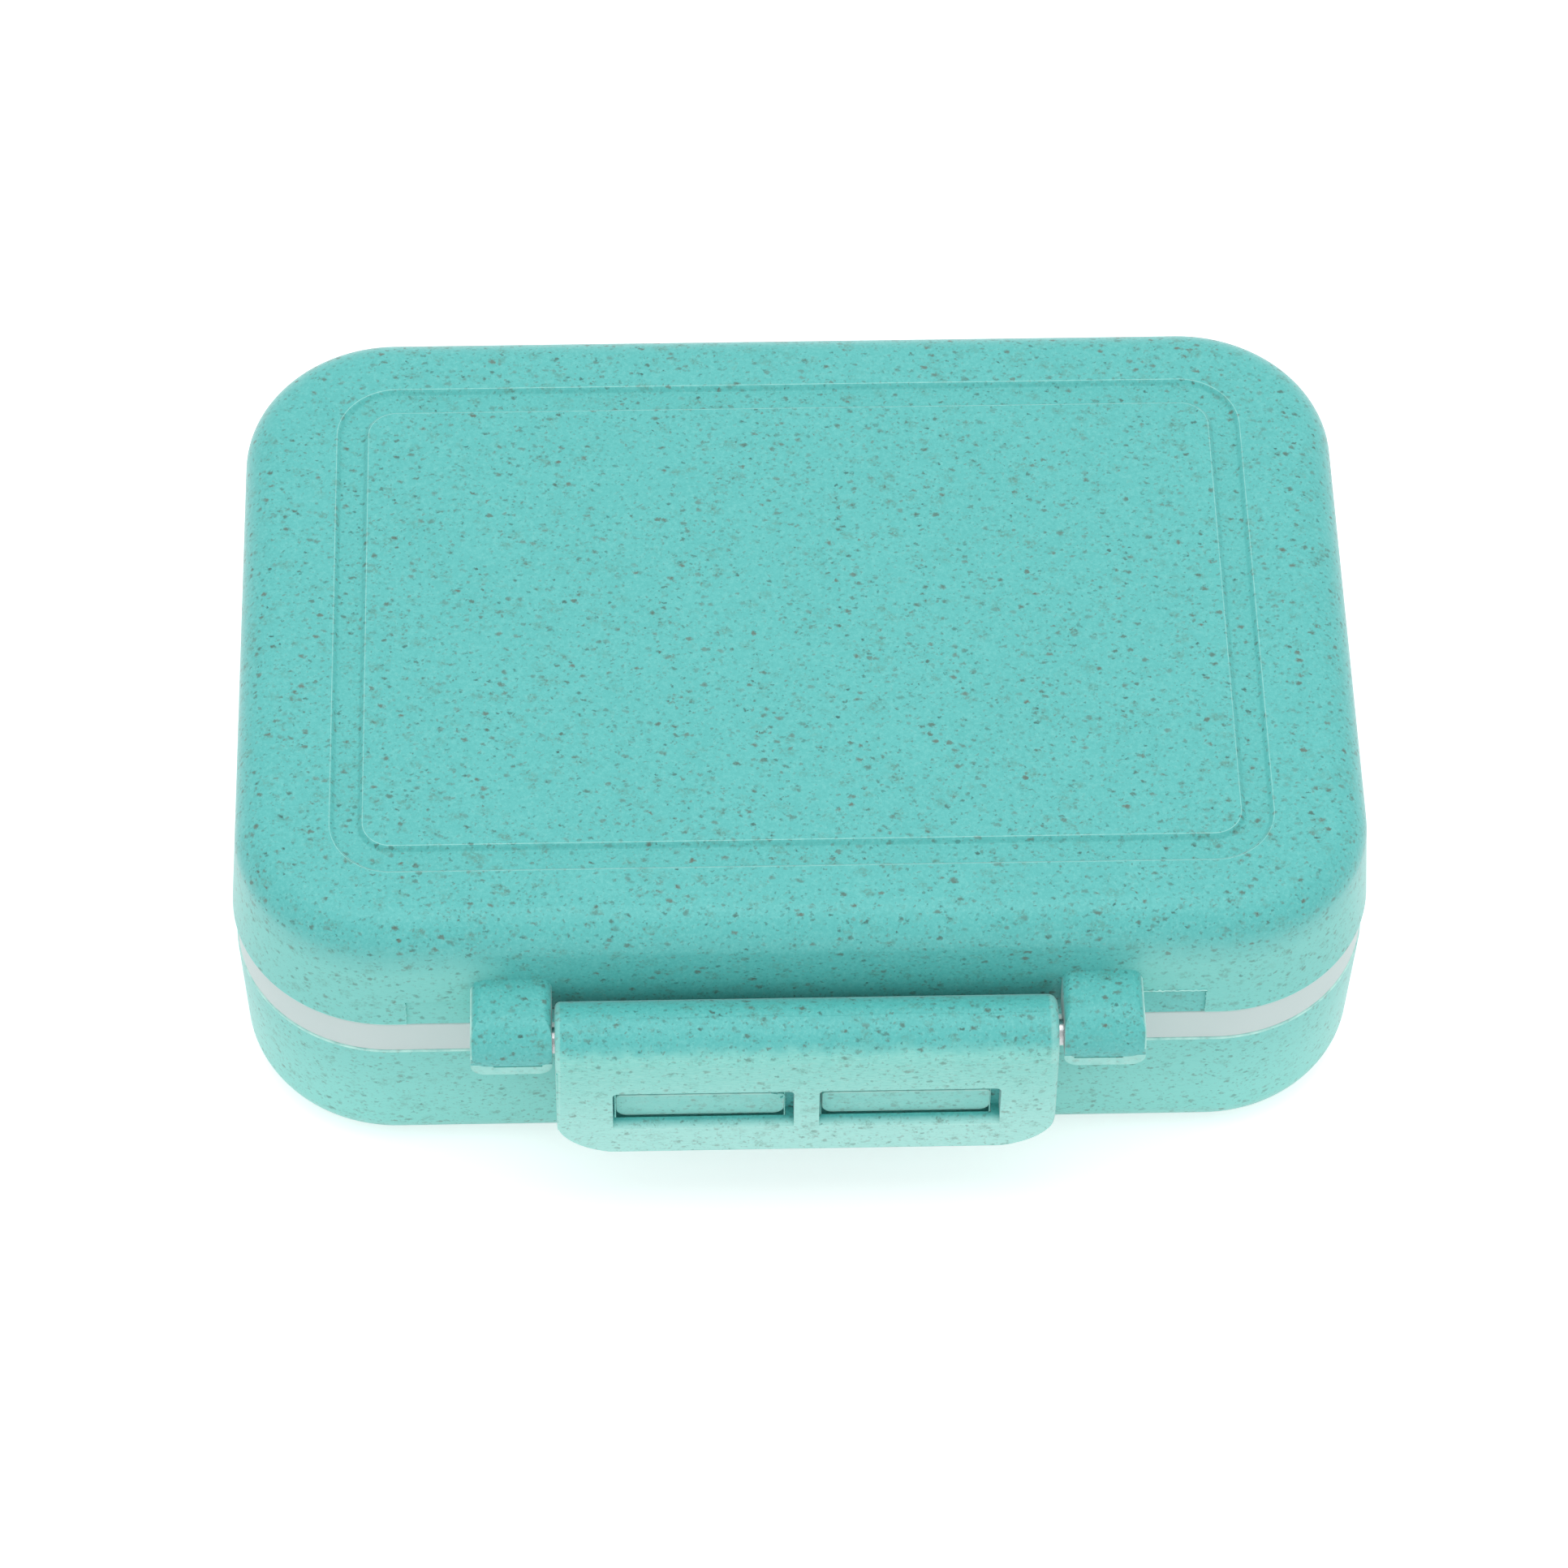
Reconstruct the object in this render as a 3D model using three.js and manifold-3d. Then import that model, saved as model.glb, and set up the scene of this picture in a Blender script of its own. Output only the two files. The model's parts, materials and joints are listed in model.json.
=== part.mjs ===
// Travel pill box: a shallow two-part case of moulded wheat-straw polypropylene, hinged at the back on a
// steel pin and held shut at the front by a flap that snaps over two bars. A frosted tray with eight
// compartments sits inside, and its collar is the white band between the lid and the base.
//
// Lengths are in millimetres. X runs to the right, Y to the back and Z up. The origin is the middle of
// the case's underside, on the surface that the box stands on. An inset is measured inwards from the
// outline of the lid's lower edge, which is the widest part of the case.

import * as THREE from 'three';
import { mergeVertices } from 'three/addons/utils/BufferGeometryUtils.js';
import Module from 'manifold-3d';

const wasm = await Module();
wasm.setup();

// Case
const caseWidth = 105;
const caseDepth = 73.2;
const cornerRadius = 14.8;
const baseHeight = 15.8;
const bandHeight = 4.3;
const lidHeight = 12.7;
const baseWall = 1.6;
const baseFloor = 1.6;
const baseInset = 0.15;
const baseDraft = 0.4;
const baseFilletRadius = 4.2;
const lidWall = 1.6;
const lidTopThickness = 1.8;
const lidDraft = 0.7;
const lidFilletRadius = 3.7;

// Clearances
const seamGap = 0.15;
const runningGap = 0.3;
const pinSeatGap = 0.06;
const pinRunningGap = 0.12;

// Groove round the lid's top panel
const grooveSideMargin = 9.75;
const grooveEndMargin = 8.35;
const grooveWidth = 2.5;
const grooveDepth = 0.5;
const grooveCornerRadius = 5.4;

// Inner tray
const trayWall = 1.2;
const trayFloor = 1.2;
const trayTopGap = 0.8;
const collarInset = 0.25;
const collarSkirt = 1.3;
const collarTop = 1.3;
const centreWallThickness = 1.2;

// Removable cross walls and the pairs of ribs that guide them
const columns = 4;
const dividerThickness = 1.2;
const dividerGap = 0.25;
const dividerTopDrop = 0.4;
const guideRibThickness = 0.9;
const guideRibDepth = 1;
const scoopWidth = 14;
const scoopDepth = 4.5;

// Silicone ring round the tray, on its collar
const sealHeight = 2;
const sealThickness = 1.24;
const sealLipChamfer = 0.35;

// Rear hinge
const hingePinDiameter = 2.4;
const hingeBarrelWall = 1.7;
const hingeWallGap = 0.6;
const baseKnuckleLength = 38.8;
const lidKnuckleLength = 10;
const hingeArmHeight = 6;
const pinEndWall = 1.6;
const pinChamfer = 0.25;

// Latch pin and flap
const latchPinDiameter = 2.4;
const latchPinAboveLidEdge = 2.86;
const flapBarrelWall = 2.3;
const flapWallGap = 0.33;
const flapThickness = 2;
const flapSideMargin = 5.11;
const flapLipHeight = 4.25;
const flapCornerRadius = 5.5;
const flapTipTuck = 0.2;
const flapTipLength = 3.6;
const slotWidth = 16.5;
const slotWeb = 2.3;
const slotCornerRadius = 0.5;

// Snap bars on the base, which stand in the flap's slots
const barBelowBaseEdge = 1.7;
const barHeight = 3.2;
const barSideGap = 0.6;
const barUnderGap = 0.15;
const barOverGap = 1.9;
const barRecess = 1.13;
const barEdgeRadius = 0.9;
const barPassGap = 0.27;

// Ears on the lid, which hold the latch pin
const earGap = 0.38;
const earWidth = 7.22;
const earFrontWall = 1.32;
const earRoofWall = 2.29;
const earFloorWall = 0.61;
const earNoseRadius = 3.4;
const earToeRadius = 0.5;

// Shallow mould insets in the lid's lower edge, outwards of the ears
const insetPatchWidth = 6.1;
const insetPatchHeight = 3.35;
const insetPatchDepth = 0.2;

// Facets
const cornerSteps = 8;
const filletSteps = 5;
const roundSteps = 28;

// How far a joined body reaches into its wall, and how far a cutting body runs past what it cuts
const embed = 0.8;
const overrun = 1;

// Heights and planes that follow from the sizes above
const lidBottom = baseHeight + bandHeight;
const lidTop = lidBottom + lidHeight;
const lidInnerTop = lidTop - lidTopThickness;
const frontFace = -caseDepth / 2;
const rearFace = caseDepth / 2;
const collarBottom = baseHeight + seamGap;
const collarHigh = lidBottom - seamGap;

const hingeBarrelRadius = hingePinDiameter / 2 + hingeBarrelWall;
const hingeAxisBehind = hingeBarrelRadius + hingeWallGap;
const hingeY = rearFace + hingeAxisBehind;
const hingeZ = baseHeight + bandHeight / 2;

const flapBarrelRadius = latchPinDiameter / 2 + flapBarrelWall;
const latchY = frontFace - flapBarrelRadius - flapWallGap;
const latchZ = lidBottom + latchPinAboveLidEdge;
const flapWidth = 2 * slotWidth + slotWeb + 2 * flapSideMargin;
const flapFront = latchY - flapBarrelRadius;
const flapBack = flapFront + flapThickness;
const barFront = flapFront + barRecess;
const barBottom = baseHeight - barBelowBaseEdge;
const barTop = barBottom + barHeight;
const slotBottom = barBottom - barUnderGap;
const slotTop = barTop + barOverGap;
const slotMiddle = slotWeb / 2 + slotWidth / 2;
const flapTip = slotBottom - flapLipHeight;
const earInner = flapWidth / 2 + earGap;

// The base's and the lid's inner faces
const baseInnerInset = baseInset + baseDraft + baseWall;
const baseInnerRadius = Math.max(baseFilletRadius - baseWall, 0.5);
const lidInnerInset = lidDraft + lidWall;
const lidInnerRadius = Math.max(lidFilletRadius - lidWall, 0.5);

// The tray's wall stands behind the silicone ring, inside the base, and clear of the lid's front edge
// as the lid swings up over it.
const sealInset = lidWall + lidDraft * sealHeight / lidHeight + runningGap;
const lidEdgeSwing = Math.hypot(caseDepth - lidWall + hingeAxisBehind, lidBottom - hingeZ);
const swingInset = caseDepth + hingeAxisBehind
  - Math.sqrt(lidEdgeSwing ** 2 - (lidInnerTop - hingeZ) ** 2);
const trayInset = Math.max(
  sealInset + sealThickness + seamGap,
  baseInnerInset + runningGap,
  swingInset + runningGap,
);
const roundedBy = Math.max(lidInnerRadius - (trayInset - lidInnerInset), 0);
const lidInnerDrop = lidInnerRadius - Math.sqrt(lidInnerRadius ** 2 - roundedBy ** 2);
const trayBottom = baseFloor + runningGap;
const trayFloorTop = trayBottom + trayFloor;
const trayTop = lidInnerTop - lidInnerDrop - trayTopGap;
const trayInnerRadius = Math.max(baseInnerRadius - trayWall, 0.3);

// Materials
const wheatStrawPlastic = { color: 0x74cbc6, roughness: 0.5, metalness: 0 };
const frostedPlastic = { color: 0xe4f1ee, roughness: 0.55, metalness: 0 };
const frostedClearPlastic = { color: 0xd9e6e5, roughness: 0.5, metalness: 0 };
const whiteSilicone = { color: 0xe8ebe8, roughness: 0.7, metalness: 0 };
const steel = { color: 0xb9bdbf, roughness: 0.3, metalness: 1 };

// Solids are joined and cut as closed bodies.
function solidOf(geometry) {
  const bare = geometry.clone();
  bare.deleteAttribute('normal');
  bare.deleteAttribute('uv');
  const merged = mergeVertices(bare, 1e-4);
  return new wasm.Manifold(new wasm.Mesh({
    numProp: 3,
    vertProperties: new Float32Array(merged.getAttribute('position').array),
    triVerts: new Uint32Array(merged.getIndex().array),
  }));
}

function join(...solids) {
  return solids.reduce((whole, next) => whole.add(next));
}

function cut(solid, ...tools) {
  return tools.reduce((whole, tool) => whole.subtract(tool), solid);
}

function namedMesh(name, solid, look) {
  const { vertProperties, triVerts } = solid.getMesh();
  const geometry = new THREE.BufferGeometry();
  geometry.setAttribute('position', new THREE.BufferAttribute(new Float32Array(vertProperties), 3));
  geometry.setIndex(new THREE.BufferAttribute(new Uint32Array(triVerts), 1));
  geometry.computeVertexNormals();
  const mesh = new THREE.Mesh(geometry, new THREE.MeshStandardMaterial({ ...look, flatShading: true }));
  mesh.name = name;
  return mesh;
}

// Outline of a rectangle with round corners, anticlockwise seen from above.
function roundedRectangle(width, depth, radius, steps = cornerSteps) {
  const x = width / 2 - radius;
  const y = depth / 2 - radius;
  const points = [];
  [[x, y], [-x, y], [-x, -y], [x, -y]].forEach(([centreX, centreY], corner) => {
    for (let step = 0; step <= steps; step += 1) {
      const angle = (corner + step / steps) * Math.PI / 2;
      points.push(new THREE.Vector2(centreX + radius * Math.cos(angle), centreY + radius * Math.sin(angle)));
    }
  });
  return points;
}

function caseOutline(inset) {
  return roundedRectangle(caseWidth - 2 * inset, caseDepth - 2 * inset, cornerRadius - inset);
}

// A body whose level sections are given from the bottom up, each with as many points as the others.
function stack(levels) {
  const count = levels[0].outline.length;
  const positions = levels.flatMap(({ outline, z }) => outline.flatMap((point) => [point.x, point.y, z]));
  const top = (levels.length - 1) * count;
  const faces = [];
  for (let j = 1; j < count - 1; j += 1) {
    faces.push(0, j + 1, j);
    faces.push(top, top + j, top + j + 1);
  }
  for (let i = 0; i < levels.length - 1; i += 1) {
    for (let j = 0; j < count; j += 1) {
      const a = i * count + j;
      const b = i * count + (j + 1) % count;
      faces.push(a, b, b + count, a, b + count, a + count);
    }
  }
  const geometry = new THREE.BufferGeometry();
  geometry.setAttribute('position', new THREE.Float32BufferAttribute(positions, 3));
  geometry.setIndex(faces);
  return solidOf(geometry);
}

function caseStack(levels) {
  return stack(levels.map(({ z, inset }) => ({ z, outline: caseOutline(inset) })));
}

// Levels of a quarter-round edge: under a body it opens out upwards, over a body it closes in.
function lowerFillet(z, inset, radius) {
  return Array.from({ length: filletSteps + 1 }, (_, step) => {
    const angle = (step / filletSteps) * Math.PI / 2;
    return { z: z + radius * (1 - Math.cos(angle)), inset: inset + radius * (1 - Math.sin(angle)) };
  });
}

function upperFillet(z, inset, radius) {
  return lowerFillet(-z, inset, radius).reverse().map((level) => ({ z: -level.z, inset: level.inset }));
}

function extruded(points, length) {
  return new THREE.ExtrudeGeometry(new THREE.Shape(points), { depth: length, bevelEnabled: false });
}

// A side profile of [y, z] points carried along X.
function alongX(profile, from, to) {
  const geometry = extruded(profile.map(([y, z]) => new THREE.Vector2(y, z)), to - from);
  geometry.applyMatrix4(new THREE.Matrix4().makeBasis(
    new THREE.Vector3(0, 1, 0),
    new THREE.Vector3(0, 0, 1),
    new THREE.Vector3(1, 0, 0),
  ));
  geometry.translate(from, 0, 0);
  return solidOf(geometry);
}

// A front view of points in X and Z carried from one depth to another.
function alongY(outline, from, to) {
  const geometry = extruded(outline, to - from);
  geometry.rotateX(Math.PI / 2);
  geometry.translate(0, to, 0);
  return solidOf(geometry);
}

function box(x0, x1, y0, y1, z0, z1) {
  const geometry = new THREE.BoxGeometry(x1 - x0, y1 - y0, z1 - z0);
  geometry.translate((x0 + x1) / 2, (y0 + y1) / 2, (z0 + z1) / 2);
  return solidOf(geometry);
}

function roundBar(radius, y, z, from, to, chamfer = 0) {
  const length = to - from;
  const profile = [
    new THREE.Vector2(0, 0),
    new THREE.Vector2(radius - chamfer, 0),
    new THREE.Vector2(radius, chamfer),
    new THREE.Vector2(radius, length - chamfer),
    new THREE.Vector2(radius - chamfer, length),
    new THREE.Vector2(0, length),
  ];
  const points = chamfer > 0 ? profile : [profile[0], profile[2], profile[3], profile[5]];
  const geometry = new THREE.LatheGeometry(points, roundSteps);
  geometry.rotateZ(-Math.PI / 2);
  geometry.translate(from, y, z);
  return solidOf(geometry);
}

function arcPoints(centreY, centreZ, radius, fromAngle, toAngle, steps) {
  return Array.from({ length: steps + 1 }, (_, step) => {
    const angle = fromAngle + (toAngle - fromAngle) * step / steps;
    return [centreY + radius * Math.cos(angle), centreZ + radius * Math.sin(angle)];
  });
}

// Base: an open shell with a round lower edge, two snap bars in front and one knuckle behind.
function snapBar(side) {
  const outline = roundedRectangle(slotWidth - 2 * barSideGap, barHeight, barEdgeRadius, 3)
    .map((point) => new THREE.Vector2(point.x + side * slotMiddle, point.y + (barBottom + barTop) / 2));
  const bar = alongY(outline, barFront, frontFace + baseInset + baseDraft + embed);
  const underLid = box(-caseWidth, caseWidth, frontFace - runningGap, 0, baseHeight, barTop + overrun);
  return cut(bar, underLid);
}

function baseKnuckle() {
  const half = baseKnuckleLength / 2;
  const wall = rearFace - baseInset - baseDraft;
  const arm = alongX([
    [wall - embed, baseHeight - hingeArmHeight],
    [wall + embed, baseHeight - hingeArmHeight],
    [hingeY + hingeBarrelRadius * Math.SQRT1_2, hingeZ - hingeBarrelRadius * Math.SQRT1_2],
    [hingeY, hingeZ],
    [hingeY - hingeBarrelRadius * Math.SQRT1_2, hingeZ - hingeBarrelRadius * Math.SQRT1_2],
    [rearFace + runningGap, baseHeight],
    [wall - embed, baseHeight],
  ], -half, half);
  const barrel = roundBar(hingeBarrelRadius, hingeY, hingeZ, -half, half);
  return join(arm, barrel);
}

function baseShell() {
  const outer = caseStack([
    ...lowerFillet(0, baseInset + baseDraft, baseFilletRadius),
    { z: baseHeight, inset: baseInset },
  ]);
  const inner = caseStack([
    ...lowerFillet(baseFloor, baseInnerInset, baseInnerRadius),
    { z: baseHeight + overrun, inset: baseInset + baseWall },
  ]);
  const boreEnd = baseKnuckleLength / 2 + overrun;
  const bore = roundBar(hingePinDiameter / 2 + pinSeatGap, hingeY, hingeZ, -boreEnd, boreEnd);
  return cut(join(outer, snapBar(-1), snapBar(1), baseKnuckle()), inner, bore);
}

// Tray: a tub with a skirted collar, a fixed lengthwise wall and ribs that guide the cross walls.
const trayInnerWidth = caseWidth - 2 * (trayInset + trayWall);
const trayInnerDepth = caseDepth - 2 * (trayInset + trayWall);
const columnWidth = (trayInnerWidth - (columns - 1) * dividerThickness) / columns;
const rowDepth = (trayInnerDepth - centreWallThickness) / 2;

function dividerCentre(index) {
  return -trayInnerWidth / 2 + index * (columnWidth + dividerThickness) - dividerThickness / 2;
}

function guideRibs() {
  const ribs = [];
  const outward = dividerThickness / 2 + dividerGap;
  for (let index = 1; index < columns; index += 1) {
    for (const side of [-1, 1]) {
      const near = dividerCentre(index) + side * outward;
      const far = near + side * guideRibThickness;
      const [x0, x1] = [Math.min(near, far), Math.max(near, far)];
      const wallY = trayInnerDepth / 2;
      const centreY = centreWallThickness / 2 + guideRibDepth;
      const low = trayBottom;
      ribs.push(box(x0, x1, wallY - guideRibDepth, wallY + trayWall / 2, low, trayTop));
      ribs.push(box(x0, x1, -wallY - trayWall / 2, -wallY + guideRibDepth, low, trayTop));
      ribs.push(box(x0, x1, -centreY, centreY, low, trayTop));
    }
  }
  return ribs;
}

function compartmentTray() {
  const tub = caseStack([
    ...lowerFillet(trayBottom, trayInset, baseInnerRadius),
    { z: trayTop, inset: trayInset },
  ]);
  const collar = caseStack([
    { z: collarBottom, inset: collarInset },
    { z: collarHigh, inset: collarInset },
  ]);
  const underCollar = caseStack([
    { z: collarBottom - overrun, inset: collarInset + collarSkirt },
    { z: collarHigh - collarTop, inset: collarInset + collarSkirt },
  ]);
  const centreWall = box(
    -caseWidth / 2, caseWidth / 2, -centreWallThickness / 2, centreWallThickness / 2, trayBottom, trayTop,
  );
  const hollow = caseStack([
    ...lowerFillet(trayFloorTop, trayInset + trayWall, trayInnerRadius),
    { z: trayTop + overrun, inset: trayInset + trayWall },
  ]);
  return cut(join(cut(collar, underCollar), tub), cut(hollow, centreWall, ...guideRibs()));
}

// A cross wall: a thin plate with a finger scoop in its top edge and a corner cut for the tray's fillet.
function divider(index, side) {
  const length = rowDepth - 2 * dividerGap;
  const low = trayFloorTop + seamGap;
  const high = trayTop - dividerTopDrop;
  const scoopSteps = 8;
  const scoop = Array.from({ length: scoopSteps + 1 }, (_, step) => {
    const along = 1 - 2 * step / scoopSteps;
    return [length / 2 + along * scoopWidth / 2, high - scoopDepth * Math.cos(along * Math.PI / 2)];
  });
  const plate = [
    [0, low],
    [length - trayInnerRadius, low],
    [length, low + trayInnerRadius],
    [length, high],
    ...scoop,
    [0, high],
  ].map(([along, z]) => [side * (centreWallThickness / 2 + dividerGap + along), z]);
  const x = dividerCentre(index);
  return alongX(plate, x - dividerThickness / 2, x + dividerThickness / 2);
}

// Silicone ring: it sits on the collar round the tray's wall, and the lid's skirt slides down over it.
function sealRing() {
  const low = collarHigh + seamGap;
  const high = low + sealHeight;
  const outer = caseStack([
    { z: low, inset: sealInset + sealLipChamfer },
    { z: low + sealLipChamfer, inset: sealInset },
    { z: high - sealLipChamfer, inset: sealInset },
    { z: high, inset: sealInset + sealLipChamfer },
  ]);
  const inner = caseStack([
    { z: low - overrun, inset: sealInset + sealThickness },
    { z: high + overrun, inset: sealInset + sealThickness },
  ]);
  return cut(outer, inner);
}

// Lid: a shell with a round upper edge, a groove round its top panel, ears in front and knuckles behind.
function earProfile() {
  const pinRadius = latchPinDiameter / 2;
  const front = latchY - pinRadius - earFrontWall;
  const top = latchZ + pinRadius + earRoofWall;
  const bottom = latchZ - pinRadius - earFloorWall;
  const root = frontFace + lidDraft + embed;
  const nose = arcPoints(front + earNoseRadius, top - earNoseRadius, earNoseRadius, Math.PI / 2, Math.PI, 7);
  return [
    [root, bottom],
    [root, top],
    ...nose,
    [front, bottom + earToeRadius],
    [front + earToeRadius, bottom],
  ];
}

function lidKnuckle(side) {
  const near = side * (baseKnuckleLength / 2 + runningGap);
  const far = near + side * lidKnuckleLength;
  const [x0, x1] = [Math.min(near, far), Math.max(near, far)];
  const root = rearFace - lidDraft - embed;
  const arm = alongX([
    [root, lidBottom],
    [rearFace, lidBottom],
    [hingeY - hingeBarrelRadius * Math.SQRT1_2, hingeZ + hingeBarrelRadius * Math.SQRT1_2],
    [hingeY, hingeZ],
    [hingeY + hingeBarrelRadius * Math.SQRT1_2, hingeZ + hingeBarrelRadius * Math.SQRT1_2],
    [rearFace + embed, lidBottom + hingeArmHeight],
    [root, lidBottom + hingeArmHeight],
  ], x0, x1);
  return join(arm, roundBar(hingeBarrelRadius, hingeY, hingeZ, x0, x1));
}

function topGroove() {
  const width = caseWidth - 2 * grooveSideMargin;
  const depth = caseDepth - 2 * grooveEndMargin;
  const ring = (inset, radius) => stack([lidTop - grooveDepth, lidTop + overrun].map((z) => (
    { z, outline: roundedRectangle(width - 2 * inset, depth - 2 * inset, radius) }
  )));
  return cut(ring(0, grooveCornerRadius), ring(grooveWidth, grooveCornerRadius - grooveWidth));
}

// The patch's floor leans back with the lid's front wall, so that it is equally deep all over.
function insetPatch(side) {
  const near = side * (earInner + earWidth);
  const far = near + side * insetPatchWidth;
  const lean = lidDraft / (lidTop - lidFilletRadius - lidBottom);
  const floorAt = (height) => [frontFace + insetPatchDepth + height * lean, lidBottom + height];
  const clear = frontFace - overrun;
  return alongX([
    [clear, lidBottom - overrun],
    floorAt(-overrun),
    floorAt(insetPatchHeight),
    [clear, lidBottom + insetPatchHeight],
  ], Math.min(near, far), Math.max(near, far));
}

const latchPinReach = earInner + earWidth - pinEndWall;
const hingePinReach = baseKnuckleLength / 2 + runningGap + lidKnuckleLength - pinEndWall;

// The left end of a pin's bore is blind, and its right end is open, where the pin is pushed in.
function pinBore(radius, reach, y, z) {
  return roundBar(radius, y, z, -reach - seamGap, reach + pinEndWall + overrun);
}

function lidShell() {
  const outer = caseStack([
    { z: lidBottom, inset: 0 },
    ...upperFillet(lidTop, lidDraft, lidFilletRadius),
  ]);
  const inner = caseStack([
    { z: lidBottom - overrun, inset: lidWall },
    { z: lidBottom, inset: lidWall },
    ...upperFillet(lidInnerTop, lidInnerInset, lidInnerRadius),
  ]);
  const ears = [-1, 1].map((side) => {
    const near = side * earInner;
    const far = near + side * earWidth;
    return alongX(earProfile(), Math.min(near, far), Math.max(near, far));
  });
  const body = join(outer, ...ears, lidKnuckle(-1), lidKnuckle(1));
  return cut(
    body,
    inner,
    topGroove(),
    insetPatch(-1),
    insetPatch(1),
    pinBore(latchPinDiameter / 2 + pinSeatGap, latchPinReach, latchY, latchZ),
    pinBore(hingePinDiameter / 2 + pinRunningGap, hingePinReach, hingeY, hingeZ),
  );
}

// Flap: a plate that hangs from a barrel round the pin, with a slot over each snap bar. Below the slots
// the plate is thin over the bars' width, so that it passes in front of them.
function flapOutline() {
  const half = flapWidth / 2;
  const cornerX = half - flapCornerRadius;
  const cornerZ = flapTip + flapCornerRadius;
  const shape = new THREE.Shape();
  shape.moveTo(half, latchZ + flapBarrelRadius);
  shape.lineTo(-half, latchZ + flapBarrelRadius);
  shape.lineTo(-half, cornerZ);
  shape.absarc(-cornerX, cornerZ, flapCornerRadius, Math.PI, 1.5 * Math.PI);
  shape.absarc(cornerX, cornerZ, flapCornerRadius, 1.5 * Math.PI, 2 * Math.PI);
  return shape.getPoints(5);
}

function flapSlot(side) {
  const outline = roundedRectangle(slotWidth, slotTop - slotBottom, slotCornerRadius, 2)
    .map((point) => new THREE.Vector2(point.x + side * slotMiddle, point.y + (slotTop + slotBottom) / 2));
  return alongY(outline, flapFront - overrun, flapBack + overrun);
}

function latchFlap() {
  const half = flapWidth / 2;
  const plate = alongX([
    [flapFront, latchZ],
    [flapFront, flapTip + flapTipLength],
    [flapFront + flapTipTuck / 3, flapTip + flapTipLength / 2],
    [flapFront + flapTipTuck, flapTip],
    [flapBack, flapTip],
    [flapBack, latchZ],
  ], -half, half);
  const barrel = roundBar(flapBarrelRadius, latchY, latchZ, -half, half);
  const outline = alongY(flapOutline(), flapFront - overrun, latchY + flapBarrelRadius + overrun);
  const bore = roundBar(
    latchPinDiameter / 2 + pinRunningGap, latchY, latchZ, -half - overrun, half + overrun,
  );
  const backPockets = [-1, 1].map((side) => box(
    side * slotMiddle - slotWidth / 2, side * slotMiddle + slotWidth / 2,
    barFront - barPassGap, flapBack + overrun,
    flapTip - overrun, (slotTop + slotBottom) / 2,
  ));
  return cut(join(plate, barrel).intersect(outline), flapSlot(-1), flapSlot(1), ...backPockets, bore);
}

const pillBox = new THREE.Group();
pillBox.name = 'travel_pill_box';

pillBox.add(namedMesh('base_shell', baseShell(), wheatStrawPlastic));
pillBox.add(namedMesh('compartment_tray', compartmentTray(), frostedPlastic));
for (let index = 1; index < columns; index += 1) {
  pillBox.add(namedMesh(`divider_front_${index}`, divider(index, -1), frostedClearPlastic));
  pillBox.add(namedMesh(`divider_rear_${index}`, divider(index, 1), frostedClearPlastic));
}
pillBox.add(namedMesh('seal_ring', sealRing(), whiteSilicone));
pillBox.add(namedMesh('lid_shell', lidShell(), wheatStrawPlastic));
pillBox.add(namedMesh(
  'hinge_pin',
  roundBar(hingePinDiameter / 2, hingeY, hingeZ, -hingePinReach, hingePinReach, pinChamfer),
  steel,
));
pillBox.add(namedMesh('latch_flap', latchFlap(), wheatStrawPlastic));
pillBox.add(namedMesh(
  'latch_pin',
  roundBar(latchPinDiameter / 2, latchY, latchZ, -latchPinReach, latchPinReach, pinChamfer),
  steel,
));

export default pillBox;
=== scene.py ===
import json
import math

import bmesh
import bpy
from mathutils import Matrix, Vector
from mathutils.bvhtree import BVHTree
from mathutils.interpolate import poly_3d_calc


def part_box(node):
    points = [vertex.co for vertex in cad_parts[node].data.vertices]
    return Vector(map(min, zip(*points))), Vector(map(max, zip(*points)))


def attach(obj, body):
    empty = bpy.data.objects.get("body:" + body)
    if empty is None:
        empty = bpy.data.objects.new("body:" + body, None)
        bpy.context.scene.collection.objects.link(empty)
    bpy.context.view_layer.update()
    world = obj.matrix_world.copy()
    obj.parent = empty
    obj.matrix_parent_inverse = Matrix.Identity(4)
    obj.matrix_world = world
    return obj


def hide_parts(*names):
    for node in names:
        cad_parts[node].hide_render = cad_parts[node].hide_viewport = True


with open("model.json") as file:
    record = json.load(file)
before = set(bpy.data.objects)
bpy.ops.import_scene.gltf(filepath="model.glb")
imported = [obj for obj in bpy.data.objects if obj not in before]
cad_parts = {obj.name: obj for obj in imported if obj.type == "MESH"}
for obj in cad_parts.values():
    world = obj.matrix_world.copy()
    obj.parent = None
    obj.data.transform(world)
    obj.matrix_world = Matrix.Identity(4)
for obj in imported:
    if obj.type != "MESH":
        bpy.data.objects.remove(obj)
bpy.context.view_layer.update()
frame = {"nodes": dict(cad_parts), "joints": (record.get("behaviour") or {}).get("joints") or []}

# Travel pill box of speckled wheat-straw polypropylene. Lengths are in metres, and MM turns millimetres
# into metres. X runs to the right, Y to the hinge at the back and Z up from the surface it stands on.
MM = 0.001


def size_of(node):
    low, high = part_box(node)
    return Vector(low), Vector(high)


def joint_place(name):
    return Vector(next(joint["pos_m"] for joint in frame["joints"] if joint["name"] == name))


# Places that the frame gives
lid_low, lid_high = size_of("lid_shell")
flap_low, flap_high = size_of("latch_flap")
tray_low, tray_high = size_of("compartment_tray")
seal_low, seal_high = size_of("seal_ring")
hinge_pin_low, hinge_pin_high = size_of("hinge_pin")
latch_pin_low, latch_pin_high = size_of("latch_pin")
hinge_axis = joint_place("lid_hinge")
latch_axis = joint_place("latch_hinge")

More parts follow.
